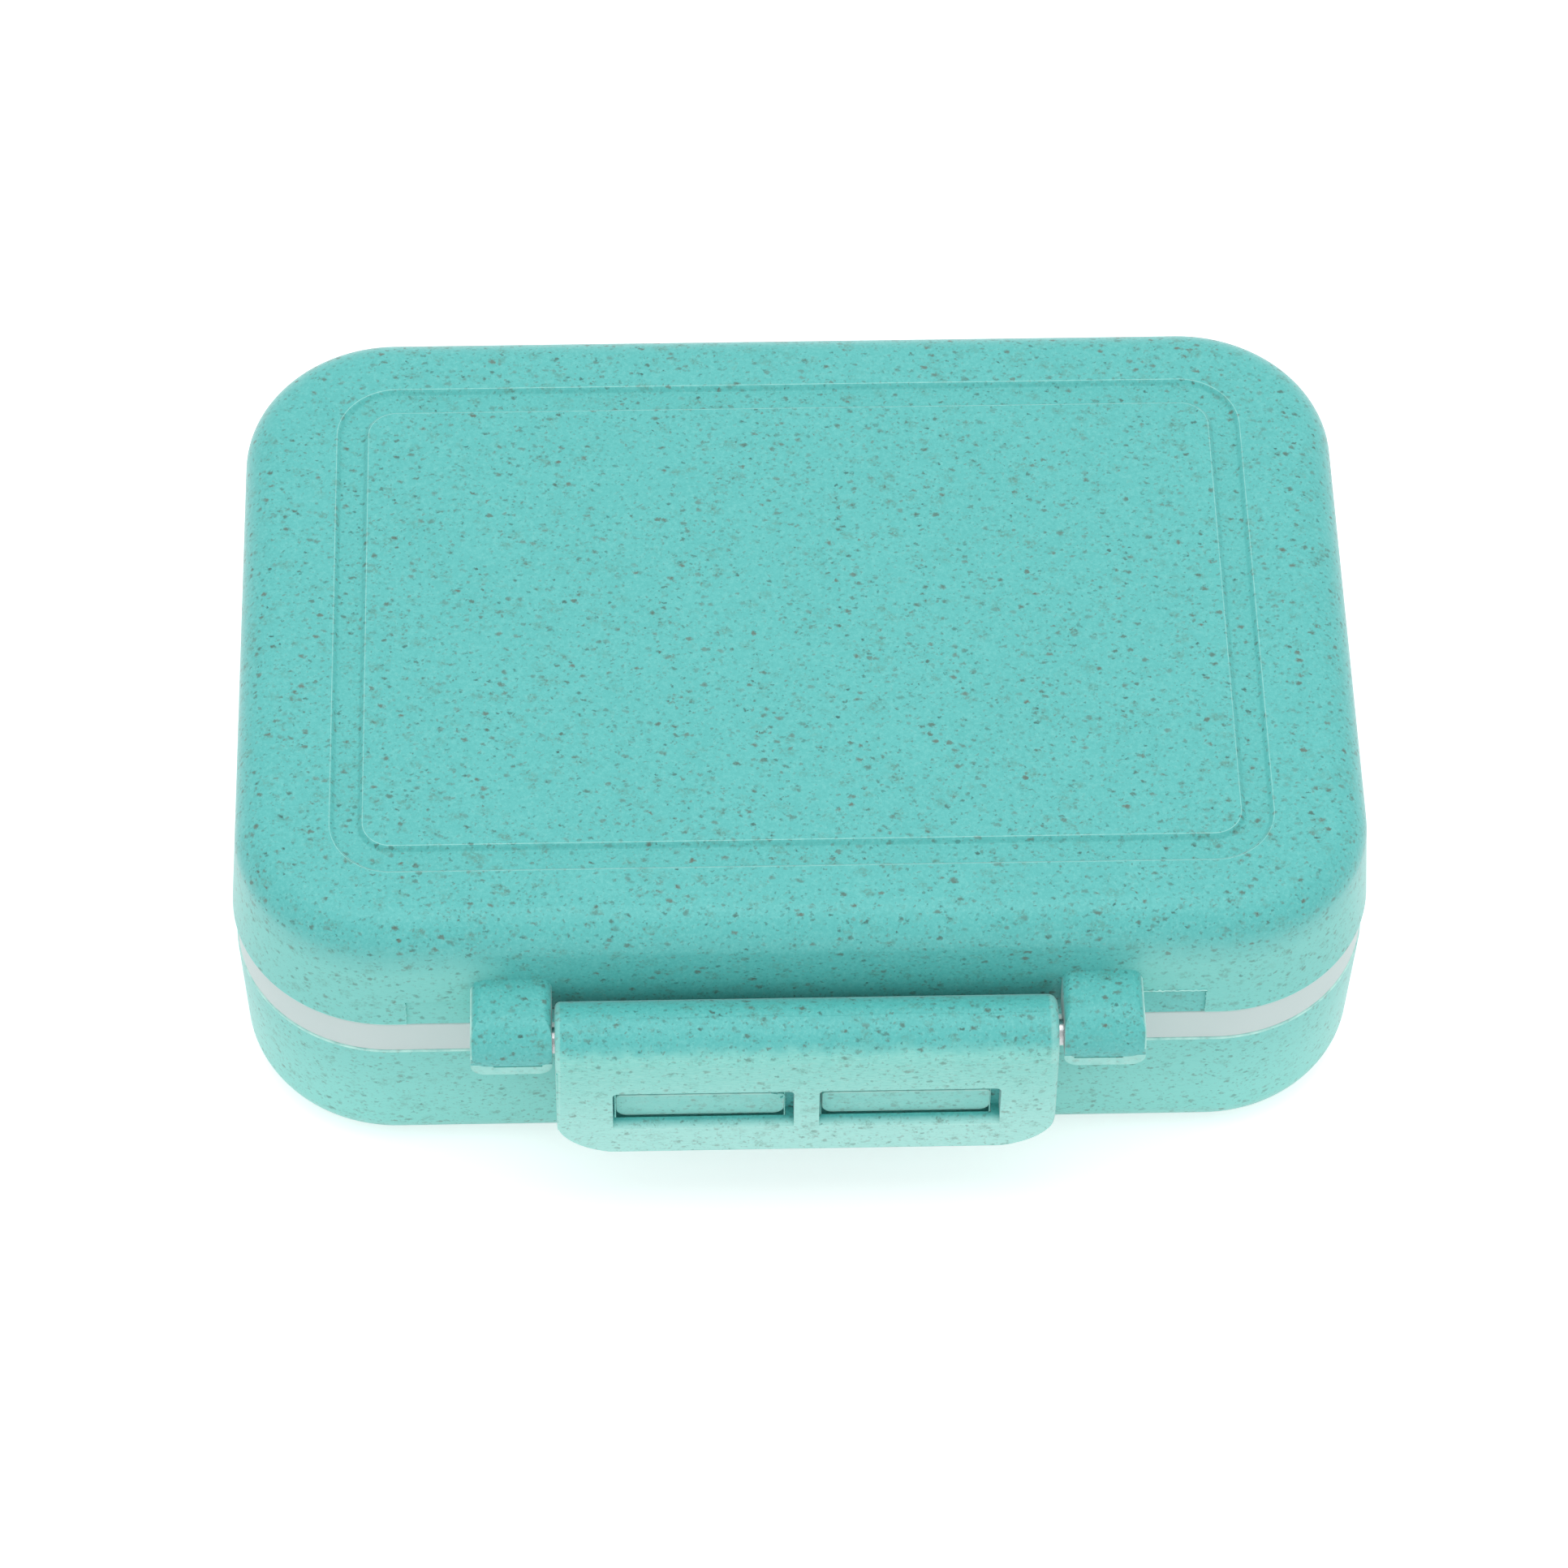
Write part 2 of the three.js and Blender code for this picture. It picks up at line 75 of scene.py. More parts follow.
# Case
CASE_WIDTH = lid_high.x - lid_low.x
CASE_DEPTH = 73.2 * MM
CORNER_RADIUS = 14.8 * MM
BASE_HEIGHT = 15.8 * MM
LID_BOTTOM = 20.1 * MM
LID_TOP = lid_high.z
BASE_WALL = 1.6 * MM
BASE_INSET = 0.15 * MM
BASE_DRAFT = 0.4 * MM
BASE_FILLET = 4.2 * MM
LID_WALL = 1.6 * MM
LID_TOP_THICKNESS = 1.8 * MM
LID_DRAFT = 0.7 * MM
LID_FILLET = 3.7 * MM
RIM_RADIUS = 0.25 * MM
FRONT_FACE = -CASE_DEPTH / 2
REAR_FACE = CASE_DEPTH / 2

# Groove round the lid's top panel
GROOVE_HALF_WIDTH = CASE_WIDTH / 2 - 9.75 * MM
GROOVE_HALF_DEPTH = CASE_DEPTH / 2 - 8.35 * MM
GROOVE_WIDTH = 2.5 * MM
GROOVE_DEPTH = 0.5 * MM
GROOVE_CORNER = 5.4 * MM
GROOVE_EDGE = 0.3 * MM

# Tray
TRAY_INSET = 3.4 * MM
TRAY_WALL = 1.2 * MM
TRAY_FLOOR = 1.2 * MM
TRAY_FILLET = 2.6 * MM
TRAY_INNER_FILLET = 1.4 * MM
TRAY_RIM = 0.3 * MM
TRAY_EDGE = 0.2 * MM
COLLAR_INSET = 0.25 * MM
COLLAR_SKIRT = 1.3 * MM
COLLAR_BOTTOM = 15.84 * MM
COLLAR_EDGE = 0.1 * MM
COLLAR_TOP = 19.95 * MM
CENTRE_WALL = 1.2 * MM
GUIDE_RIB_THICKNESS = 0.9 * MM
GUIDE_RIB_DEPTH = 1.0 * MM
GUIDE_GAP = 0.25 * MM
GUIDE_ROOT = 0.1 * MM
GUIDE_BELOW_RIM = 0.6 * MM
DIVIDER_EDGE = 0.25 * MM

# Seal
SEAL_GRIP = 0.15 * MM
SEAL_BAND_INSET = 0.22 * MM
SEAL_BAND_CORNER = 0.25 * MM
SEAL_BEAD = 0.6 * MM
SEAL_BEAD_CORNER = 0.29 * MM
SEAL_BEAD_LEVELS = (0.25, 0.75)

# Latch flap
FLAP_THICKNESS = 2.0 * MM
FLAP_CORNER_WIDTH = 6.4 * MM
FLAP_CORNER_HEIGHT = 4.9 * MM
FLAP_TIP_RADIUS = 0.2 * MM
FLAP_TIP_BACK_RADIUS = 0.4 * MM
FLAP_ROOT_FILLET = 1.0 * MM
FLAP_EDGE = 0.18 * MM
BARREL_CORNERS = (0.55 * MM, 0.9 * MM)
BARREL_FADE = 5.0 * MM
SLOT_WIDTH = 16.5 * MM
SLOT_WEB = 2.3 * MM
SLOT_TOP = 19.2 * MM
SLOT_CORNER = 0.5 * MM
SLOT_SILL = 13.3 * MM
SLOT_SILL_RISE = 0.9 * MM
SLOT_END_DEPTH = 1.75 * MM
SLOT_EDGE = 0.13 * MM
SLOT_EDGE_START = 0.3 * MM
SILL_FADE = 0.6 * MM
FLAP_FRONT_DEPTH = 1.9 * MM
POCKET_GAP = 0.12 * MM
POCKET_BELOW_SLOT_TOP = 0.2 * MM

# Snap bars, a little left of the slots' middles
BAR_WIDTH = 15.35 * MM
BAR_SHIFT = -0.3 * MM
BAR_RECESS = 1.13 * MM
BAR_BOTTOM = 14.1 * MM
BAR_TOP = 17.3 * MM
BAR_CORNER = 1.0 * MM
BAR_TOP_CORNER = 0.4 * MM
HEEL_RECESS = 0.5 * MM
HEEL_BOTTOM = 12.4 * MM
HEEL_OVERLAP = 1.2 * MM
BAR_EDGE = 0.14 * MM
BAR_STEP = 0.3 * MM
BAR_PASS_GAP = 0.27 * MM

# Ears, a little right of the middle
EAR_SHIFT = 0.12 * MM
EAR_GAP = 0.38 * MM
EAR_WIDTH = 7.22 * MM
EAR_FRONT = 2.52 * MM
EAR_ABOVE_PIN = 3.49 * MM
EAR_BELOW_PIN = 1.81 * MM
EAR_NOSE = 3.4 * MM
EAR_TOP_CORNER = 1.1 * MM
EAR_TOE_CORNER = 1.3 * MM
EAR_LIP_HEIGHT = 1.45 * MM
EAR_LIP_STEP = 0.12 * MM
EAR_FLANGE = 0.15 * MM
EAR_CREASE = 0.32 * MM
EAR_CREASE_DEPTH = 0.25 * MM
EAR_CREASE_INNER_END = 0.9 * MM
EAR_CREASE_OUTER_END = 1.9 * MM
EAR_EDGE = 0.18 * MM
EAR_PLATE_EDGE = 0.14 * MM
EAR_PLATE_DROP = 0.4 * MM
EAR_END_WALL = 1.6 * MM
PATCH_WIDTH = 6.1 * MM
PATCH_HEIGHT = 3.35 * MM
PATCH_DEPTH = 0.2 * MM

# Mould flash: how far it wanders on a patch's upper edge and its radius there, for the left and the right
# patch, and the radius of the other beads
PATCH_FLASH = {-1: (0.03 * MM, 0.06 * MM), 1: (0.10 * MM, 0.13 * MM)}
PATCH_END_FLASH = 0.07 * MM
PATCH_MIDDLE_FLASH = 0.1 * MM
BAR_CURL_FLASH = 0.1 * MM
FLAP_SIDE_FLASH = 0.07 * MM
PARTING_LINE = 0.035 * MM

# The lid's walls turn from satin to matt and painted pale down their upper part, and its front wall is left
# satin and unpainted between the ears, so it stays darker there. The paleness is painted light for the
# floor's bounce.
MATT_PALE_TOP = 30.9 * MM
MATT_PALE_LEVEL = 26.9 * MM
MATT_PALE_START = 26.5 * MM
MATT_PALE_FULL = 31.0 * MM

# Rear hinge
HINGE_BARREL = 2.9 * MM
BASE_KNUCKLE_HALF = 19.4 * MM
LID_KNUCKLE_GAP = 0.3 * MM
LID_KNUCKLE_LENGTH = 10.0 * MM
HINGE_ARM = 6.0 * MM
HINGE_ARM_TOUCH_Y = HINGE_BARREL * 0.92
HINGE_ARM_TOUCH_Z = HINGE_BARREL * 0.4
HINGE_ARM_STEP = 0.1 * MM
HINGE_END_WALL = 1.45 * MM
KNUCKLE_EDGE = 0.35 * MM
PIN_CHAMFER = 0.25 * MM
PIN_SEAT = 1.26 * MM
PIN_RUNNING = 1.32 * MM

# Facets of the smooth shapes
CORNER_STEPS = 28
FILLET_STEPS = 12
ROUND_STEPS = 72

# How far a joined body reaches into its wall, and how far a cutting body runs past what it cuts
EMBED = 0.8 * MM
OVERRUN = 1.0 * MM

# Lengths in metres that count as none: between edges, between faces, between points that are merged, and
# from a point to the surface that it was cut from. SAME_SIDE is how alike two normals of one surface are.
SAME_PLACE = 1e-6
NEAR = 1e-5
MERGED = 1e-7
ON_SURFACE = 2e-6
SAME_SIDE = 0.9


# Mesh helpers
def mesh_object(name, bm):
    bmesh.ops.recalc_face_normals(bm, faces=bm.faces)
    mesh = bpy.data.meshes.new(name)
    bm.to_mesh(mesh)
    bm.free()
    obj = bpy.data.objects.new(name, mesh)
    bpy.context.collection.objects.link(obj)
    return obj


def rounded_outline(half_x, half_y, radii, steps=CORNER_STEPS):
    """Points of a rectangle with round corners, anticlockwise from the right-hand rear corner."""
    if isinstance(radii, float):
        radii = [radii] * 4
    points = []
    for corner, (sign_x, sign_y) in enumerate(((1, 1), (-1, 1), (-1, -1), (1, -1))):
        radius = radii[corner]
        centre = (sign_x * (half_x - radius), sign_y * (half_y - radius))
        for step in range(steps + 1):
            angle = (corner + step / steps) * math.pi / 2
            points.append((centre[0] + radius * math.cos(angle), centre[1] + radius * math.sin(angle)))
    return points


def case_outline(inset):
    return rounded_outline(CASE_WIDTH / 2 - inset, CASE_DEPTH / 2 - inset, CORNER_RADIUS - inset)


def stacked(name, rings):
    """A closed body through level outlines, each given as (points, height)."""
    return lofted(name, [[(x, y, z) for x, y in points] for points, z in rings])


def lofted(name, loops):
    """A closed body through loops of points with flat ends."""
    bm = bmesh.new()
    rings = [[bm.verts.new(point) for point in loop] for loop in loops]
    bm.faces.new(rings[0])
    bm.faces.new(rings[-1])
    for low, high in zip(rings, rings[1:]):
        for i in range(len(low)):
            j = (i + 1) % len(low)
            bm.faces.new((low[i], low[j], high[j], high[i]))
    return mesh_object(name, bm)


def arc(centre_inset, centre_z, radius, start, end, steps=FILLET_STEPS):
    """Points of a fillet as (inset, height): 0 degrees faces outwards and 90 degrees up."""
    turns = [math.radians(start + (end - start) * step / steps) for step in range(steps + 1)]
    return [(centre_inset - radius * math.cos(turn), centre_z + radius * math.sin(turn)) for turn in turns]


def case_rings(profile):
    return [(case_outline(inset), z) for inset, z in profile]


def extruded(name, outline, start, end, axis):
    """A prism: an outline of (y, z) points carried along X, or of (x, z) points carried along Y."""
    if axis == "X":
        return lofted(name, [[(along, y, z) for y, z in outline] for along in (start, end)])
    return lofted(name, [[(x, along, z) for x, z in outline] for along in (start, end)])


def block(name, low, high):
    outline = [(low[1], low[2]), (high[1], low[2]), (high[1], high[2]), (low[1], high[2])]
    return extruded(name, outline, low[0], high[0], "X")


def circle(centre_y, centre_z, radius, start=0.0, end=360.0, steps=ROUND_STEPS, whole=False):
    count = steps if whole else steps + 1
    turns = [math.radians(start + (end - start) * step / steps) for step in range(count)]
    return [(centre_y + radius * math.cos(turn), centre_z + radius * math.sin(turn)) for turn in turns]


def round_bar(name, axis_point, radius, start, end, chamfer=0.0):
    """A round bar along X, with chamfered ends if asked."""
    stations = [(start, radius - chamfer), (start + chamfer, radius), (end - chamfer, radius),
                (end, radius - chamfer)]
    if not chamfer:
        stations = [stations[0], stations[-1]]
    return lofted(name, [[(x, y, z) for y, z in circle(axis_point.y, axis_point.z, r, whole=True)]
                         for x, r in stations])


def apply_modifiers(obj):
    graph = bpy.context.evaluated_depsgraph_get()
    made = bpy.data.meshes.new_from_object(obj.evaluated_get(graph))
    old = obj.data
    obj.modifiers.clear()
    obj.data = made
    bpy.data.meshes.remove(old)


def remove(obj):
    mesh = obj.data
    bpy.data.objects.remove(obj)
    bpy.data.meshes.remove(mesh)


def edit(obj, change):
    """Runs a change on the object's mesh in edit form."""
    bm = bmesh.new()
    bm.from_mesh(obj.data)
    change(bm)
    bm.to_mesh(obj.data)
    bm.free()
    return obj


def combine(target, tools, operation):
    """Joins tools to the target or cuts them from it, and leaves clean faces."""
    for tool in tools:
        modifier = target.modifiers.new("combine", "BOOLEAN")
        modifier.operation = operation
        modifier.solver = "EXACT"
        modifier.object = tool
        apply_modifiers(target)
        remove(tool)

    def tidy(bm):
        bmesh.ops.remove_doubles(bm, verts=bm.verts, dist=MERGED)
        bmesh.ops.dissolve_degenerate(bm, edges=bm.edges, dist=MERGED)
    return edit(target, tidy)


def soften(obj, width, chosen=lambda edge: True, segments=4, angle=32.0):
    """Rounds the sharp edges that the chooser accepts."""
    limit = math.radians(angle)

    def bevel(bm):
        sharp = [edge for edge in bm.edges
                 if len(edge.link_faces) == 2 and edge.calc_face_angle(0) > limit and chosen(edge)]
        bmesh.ops.bevel(bm, geom=sharp, offset=width, offset_type="OFFSET", segments=segments, profile=0.5,
                        affect="EDGES", clamp_overlap=True, loop_slide=True)
    return edit(obj, bevel)


def reach_of(edge, axis):
    """The edge's least and greatest place along an axis."""
    places = [vert.co[axis] for vert in edge.verts]
    return min(places), max(places)


def lies_along(edge, axis):
    others = [reach_of(edge, other) for other in range(3) if other != axis]
    return all(high - low < SAME_PLACE for low, high in others)


def at_end(edge):
    """Whether the edge lies in one of the ends of a body that was carried along X."""
    return reach_of(edge, 0)[1] - reach_of(edge, 0)[0] < SAME_PLACE


def joined(target, others):
    """Adds other closed bodies to the target's mesh."""
    def add(bm):
        for other in others:
            bm.from_mesh(other.data)
            remove(other)
    return edit(target, add)


# Names of the marks on a mesh's corners, the width below which a face belongs to a rounded edge, and the
# turn in degrees from which an edge was never rounded. The edge mark paints a pale line that is partly
# moulded whitening and partly a painted highlight; the matt mark also paints matt parts paler, painted light.
EDGE_ATTRIBUTE = "edge_pale"
MATT_PALE_ATTRIBUTE = "matt_and_painted_pale"
THIN_FACE = 0.16 * MM
UNROUNDED = 40.0


def write_marks(mesh, name, values):
    mesh.attributes.new(name, "FLOAT", "CORNER").data.foreach_set("value", values)


def mark_matt_and_pale(mesh, share):
    """Marks where the mould is matt and painted pale: share gives 0 to 1 from a face's middle, a corner and
    its normal. The paleness is painted light.
    """
    values = []
    for face in mesh.polygons:
        for loop in face.loop_indices:
            place = mesh.vertices[mesh.loops[loop].vertex_index].co
            values.append(share(face.center, place, mesh.corner_normals[loop].vector))
    write_marks(mesh, MATT_PALE_ATTRIBUTE, values)


def upright(normal):
    """1 on upright walls and undersides, falling to 0 part of the way round an upper fillet."""
    share = min(max((0.5 - normal.z) / 0.38, 0.0), 1.0)
    return share * share * (3 - 2 * share)


def mark_edges(mesh, pale, soft=13.0, full=20.0):
    """Marks the narrow faces of rounded outward edges, from 0 to 1 by how sharply they turn, and other
    faces with the share that pale gives from a face's middle and normal. Sharp edges don't count. The mark
    paints them pale: on edges partly moulded whitening and partly a painted highlight, elsewhere a painted
    highlight."""
    bm = bmesh.new()
    bm.from_mesh(mesh)
    turns = []
    for vert in bm.verts:
        angles = [math.degrees(edge.calc_face_angle_signed(0)) for edge in vert.link_edges
                  if len(edge.link_faces) == 2]
        turns.append(max((angle for angle in angles if angle < UNROUNDED), default=0.0))
    values = []
    for face in bm.faces:
        least = pale(face.calc_center_median(), face.normal) if pale else 0.0
        thin = 2 * face.calc_area() / max(face.calc_perimeter(), 1e-9) < THIN_FACE
        values += [max(least, min(max((turns[vert.index] - soft) / (full - soft), 0.0), 1.0) if thin else 0.0)
                   for vert in face.verts]
    bm.free()
    write_marks(mesh, EDGE_ATTRIBUTE, values)


def shade(obj, sharp=35.0):
    """Smooth shading that keeps flat faces flat."""
    obj.data.polygons.foreach_set("use_smooth", [True] * len(obj.data.polygons))
    obj.data.set_sharp_from_angle(angle=math.radians(sharp))
    weighted = obj.modifiers.new("weighted", "WEIGHTED_NORMAL")
    weighted.keep_sharp = True
    apply_modifiers(obj)


def shaded_copy(obj):
    """A shaded copy of a body before it is cut, for keep_shading."""
    twin = bpy.data.objects.new(obj.name + "_clean", obj.data.copy())
    bpy.context.collection.objects.link(twin)
    shade(twin)
    return twin


def keep_shading(obj, clean):
    """Shades what is left of a clean body's surface as that body was shaded before it was cut."""
    source = clean.data
    source.calc_loop_triangles()
    corners = [tuple(triangle.loops) for triangle in source.loop_triangles]
    places = [[source.vertices[source.loops[i].vertex_index].co.copy() for i in loops] for loops in corners]
    source_normals = [[source.corner_normals[i].vector.copy() for i in loops] for loops in corners]
    tree = BVHTree.FromPolygons([vert.co for vert in source.vertices],
                                [tuple(triangle.vertices) for triangle in source.loop_triangles])
    mesh = obj.data
    normals = [corner.vector.copy() for corner in mesh.corner_normals]
    for face in mesh.polygons:
        for loop in face.loop_indices:
            point = mesh.vertices[mesh.loops[loop].vertex_index].co
            place, _, index, distance = tree.find_nearest(point)
            if distance > ON_SURFACE:
                continue
            weights = poly_3d_calc(places[index], place)
            normal = sum((n * w for n, w in zip(source_normals[index], weights)), Vector()).normalized()
            if normal.dot(face.normal) > SAME_SIDE:
                normals[loop] = normal
    mesh.normals_split_custom_set(normals)
    remove(clean)


def finish(obj, body, material, nodes, clean=None, matt=None, pale=None):
    shade(obj)
    if clean:
        keep_shading(obj, clean)
    mark_edges(obj.data, pale)
    if matt:
        mark_matt_and_pale(obj.data, matt)
    obj.data.materials.clear()
    obj.data.materials.append(material)
    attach(obj, body)
    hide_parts(*nodes)
    return obj


# Materials
def linear(hex_colour):
    """An sRGB hex colour as linear red, green, blue and alpha."""
    parts = [int(hex_colour[i:i + 2], 16) / 255 for i in (1, 3, 5)]
    return (*[c / 12.92 if c <= 0.04045 else ((c + 0.055) / 1.055) ** 2.4 for c in parts], 1.0)


MATH = "ShaderNodeMath"
VECTOR_MATH = "ShaderNodeVectorMath"
RANGE = "ShaderNodeMapRange"
MIX = "ShaderNodeMix"
XYZ = "ShaderNodeCombineXYZ"


def node(tree, kind, inputs=None, **settings):
    """Adds a node with its settings and its inputs: values, outputs, or nodes whose first output is meant."""
    made = tree.nodes.new(kind)
    for key, value in settings.items():
        setattr(made, key, value)
    for socket, value in (inputs or {}).items():
        if isinstance(value, bpy.types.Node):
            value = value.outputs[0]
        if isinstance(value, bpy.types.NodeSocket):
            tree.links.new(value, made.inputs[socket])
        else:
            made.inputs[socket].default_value = value
    return made


def new_material(name):
    material = bpy.data.materials.new(name)
    material.use_nodes = True
    material.node_tree.nodes.clear()
    return material, material.node_tree


def surfaced(material, inputs):
    """Ends a material with its surface shader, set by the inputs given."""
    shader = node(material.node_tree, "ShaderNodeBsdfPrincipled", inputs)
    node(material.node_tree, "ShaderNodeOutputMaterial", {"Surface": shader})
    return material


def place_in_mm(tree, size=(1.0, 1.0, 1.0), turn=(0.0, 0.0, 0.0), shift=(0.0, 0.0, 0.0), source=None):
    """The piece's own coordinates in millimetres, turned and measured in cells of a size."""
    if source is None:
        metres = node(tree, "ShaderNodeTexCoord").outputs["Object"]
        source = node(tree, VECTOR_MATH, {0: metres, "Scale": 1000.0}, operation="SCALE")
    turned = node(tree, "ShaderNodeMapping", {"Vector": source, "Rotation": turn, "Location": shift})
    return node(tree, VECTOR_MATH, {0: turned, 1: tuple(1 / s for s in size)}, operation="MULTIPLY")


def clouds(tree, size, detail=2.0, roughness=0.5):
    """A soft random pattern with patches of a size in mm, the same all ways or one for each axis."""
    cells = (size, size, size) if isinstance(size, float) else size
    return node(tree, "ShaderNodeTexNoise", {"Vector": place_in_mm(tree, cells), "Scale": 1.0,
                                             "Detail": detail, "Roughness": roughness})


# Straw flecks: each layer has a spacing along and across the flecks in mm, a turn and a shift, the share of
# cells that hold one, the smallest and largest radius as shares of a cell, and how strongly they cover.
FLECKS = (
    ((1.25, 0.85, 0.85), (0.0, 0.1, 0.2), (0.0, 0.0, 0.0), 0.95, (0.2, 0.4), (0.3, 0.8)),
    ((0.7, 0.5, 0.5), (0.0, -0.35, -0.5), (31.0, 17.0, 5.0), 1.05, (0.25, 0.44), (0.2, 0.55)),
    ((0.44, 0.33, 0.33), (0.2, 0.25, 0.6), (7.0, 53.0, 23.0), 0.7, (0.26, 0.44), (0.12, 0.35)),
)
SMUDGES = ((2.4, 1.6, 1.6), (0.0, 0.1, 0.35), (71.0, 5.0, 43.0), 0.9, (0.3, 0.5), (0.25, 0.6))


def fleck_cover(tree, layer, warped, crowd):
    """How much of the surface one layer of flecks covers, and a random number for each fleck."""
    cell, turn, shift, share, (small, large), (faint, strong) = layer
    place = place_in_mm(tree, cell, turn, shift, warped)
    cells = node(tree, "ShaderNodeTexVoronoi", {"Vector": place, "Scale": 1.0, "Randomness": 1.0})
    random = node(tree, "ShaderNodeSeparateColor", {0: cells.outputs["Color"]}).outputs
    radius = node(tree, MATH, {0: random[1], 1: large - small, 2: small}, operation="MULTIPLY_ADD")
    away = node(tree, MATH, {0: cells.outputs["Distance"], 1: radius}, operation="DIVIDE")
    inside = node(tree, RANGE, {0: away, 1: 1.0, 2: 0.3}, interpolation_type="SMOOTHSTEP")
    chance = node(tree, MATH, {0: crowd, 1: 2.0, 2: share - 1.0}, operation="MULTIPLY_ADD")
    there = node(tree, MATH, {0: random[0], 1: chance}, operation="LESS_THAN")
    strength = node(tree, MATH, {0: random[2], 1: strong - faint, 2: faint}, operation="MULTIPLY_ADD")
    shape = node(tree, MATH, {0: inside, 1: there}, operation="MULTIPLY")
    return node(tree, MATH, {0: shape, 1: strength}, operation="MULTIPLY"), random[1]


def straw_tone(tree, pick):
    """The browns of straw skin under thin plastic, from near black through green-brown to grey-brown."""
    made = node(tree, "ShaderNodeValToRGB", {0: pick})
    ramp = made.color_ramp
    ramp.elements[0].color = linear("#1c302c")
    ramp.elements[1].color = linear("#4c5f52")
    for position, colour in ((0.2, "#2c463f"), (0.45, "#3e5348"), (0.68, "#525a4c"), (0.84, "#685848")):
        ramp.elements.new(position).color = linear(colour)
    return made


def wheat_straw_polypropylene(name, pale_low, pale_high, pale_span, matt_and_pale_end, streaky):
    """Moulded polypropylene filled with ground wheat straw: satin turquoise with brown flecks that mostly
    lie along the case's width, and a thin pale line along its moulded edges that is partly moulded
    whitening and partly a painted highlight. Where the mould is matt, the surface is grainier and the
    flecks are fainter, and it is painted paler: painted light for the floor's bounce and the white
    surroundings. There the painted colour goes from pale_high at the upper end of a span of heights in mm
    to the paler pale_low at its lower end, and it ends softly at a height."""
    material, tree = new_material(name)
    body = node(tree, MIX, {0: clouds(tree, 5.0), 6: linear("#58beba"), 7: linear("#60c4c0")},
                data_type="RGBA").outputs[2]
    dust = clouds(tree, 0.34, 3.0, 0.7)
    for start, end, cover, colour in ((0.5, 0.72, 0.32, "#8fdcd6"), (0.5, 0.28, 0.18, "#3a8f8a")):
        grains = node(tree, RANGE, {0: dust, 1: start, 2: end})
        grains = node(tree, MATH, {0: grains, 1: cover}, operation="MULTIPLY")
        body = node(tree, MIX, {0: grains, 6: body, 7: linear(colour)}, data_type="RGBA").outputs[2]

    millimetres = place_in_mm(tree)
    height = node(tree, "ShaderNodeSeparateXYZ", {0: millimetres}).outputs[2]
    waver = node(tree, MATH, {0: clouds(tree, 1.5), 1: 1.2, 2: height}, operation="MULTIPLY_ADD")
    # Matt finish, painted pale as well: painted light, paler low down for the floor's bounce.
    mark = node(tree, "ShaderNodeAttribute", attribute_name=MATT_PALE_ATTRIBUTE).outputs["Fac"]
    end, fade = matt_and_pale_end
    below = node(tree, RANGE, {0: waver, 1: end + 0.6 + fade, 2: end + 0.6 - fade},
                 interpolation_type="SMOOTHSTEP")
    matt = node(tree, MATH, {0: mark, 1: below}, operation="MULTIPLY")
    level = node(tree, RANGE, {0: waver, 1: pale_span[0], 2: pale_span[1]}, interpolation_type="SMOOTHSTEP")
    pale_colour = node(tree, MIX, {0: level, 6: linear(pale_low), 7: linear(pale_high)},
                       data_type="RGBA").outputs[2]
    body = node(tree, MIX, {0: matt, 6: body, 7: pale_colour}, data_type="RGBA").outputs[2]

    crowd = clouds(tree, 2.6, 2.0, 0.6)
    wobble = clouds(tree, 0.42, 2.0, 0.6).outputs["Color"]
    push = node(tree, VECTOR_MATH, {0: wobble, 1: (0.5, 0.5, 0.5)}, operation="SUBTRACT")
    warped = node(tree, VECTOR_MATH, {0: push, 1: (0.75, 0.6, 0.6), 2: millimetres}, operation="MULTIPLY_ADD")
    shown = node(tree, MATH, {0: matt, 1: -0.3, 2: 1.0}, operation="MULTIPLY_ADD")
    smudge = fleck_cover(tree, SMUDGES, warped, crowd)[0]
    for thinned in (node(tree, RANGE, {0: clouds(tree, 0.3, 2.0, 0.7), 1: 0.38, 2: 0.62}), shown):
        smudge = node(tree, MATH, {0: smudge, 1: thinned}, operation="MULTIPLY")
    body = node(tree, MIX, {0: smudge, 6: body, 7: linear("#5c8676")}, data_type="RGBA").outputs[2]
    specks = None
    for layer in FLECKS:
        cover, pick = fleck_cover(tree, layer, warped, crowd)
        cover = node(tree, MATH, {0: cover, 1: shown}, operation="MULTIPLY")
        tone = straw_tone(tree, pick).outputs[0]
        body = node(tree, MIX, {0: cover, 6: body, 7: tone}, data_type="RGBA").outputs[2]
        specks = node(tree, MATH, {0: specks, 1: cover}, operation="MAXIMUM") if specks else cover

    streaks = clouds(tree, (0.7, 0.14, 0.14), 4.0, 0.65)
    for start, end, cover, colour in ((0.5, 0.72, 0.32, "#c4f2e9"), (0.48, 0.3, 0.28, "#5fb0a6")):
        lines = node(tree, RANGE, {0: streaks, 1: start, 2: end})
        for thinned in (cover * streaky, matt):
            lines = node(tree, MATH, {0: lines, 1: thinned}, operation="MULTIPLY")
        body = node(tree, MIX, {0: lines, 6: body, 7: linear(colour)}, data_type="RGBA").outputs[2]

    # Pale line on rounded edges, partly moulded whitening and partly a painted highlight, and the painted
    # highlights that the pale marks add; noise breaks it up.
    pale = node(tree, "ShaderNodeAttribute", attribute_name=EDGE_ATTRIBUTE).outputs["Fac"]
    broken = node(tree, RANGE, {0: clouds(tree, 1.1, 3.0), 1: 0.3, 2: 0.6, 3: 0.5, 4: 1.0})
    edge_highlight_and_whitening = node(tree, MATH, {0: pale, 1: broken}, operation="MULTIPLY")
    body = node(tree, MIX, {0: edge_highlight_and_whitening, 6: body, 7: linear("#c6f7ee")}, data_type="RGBA").outputs[2]

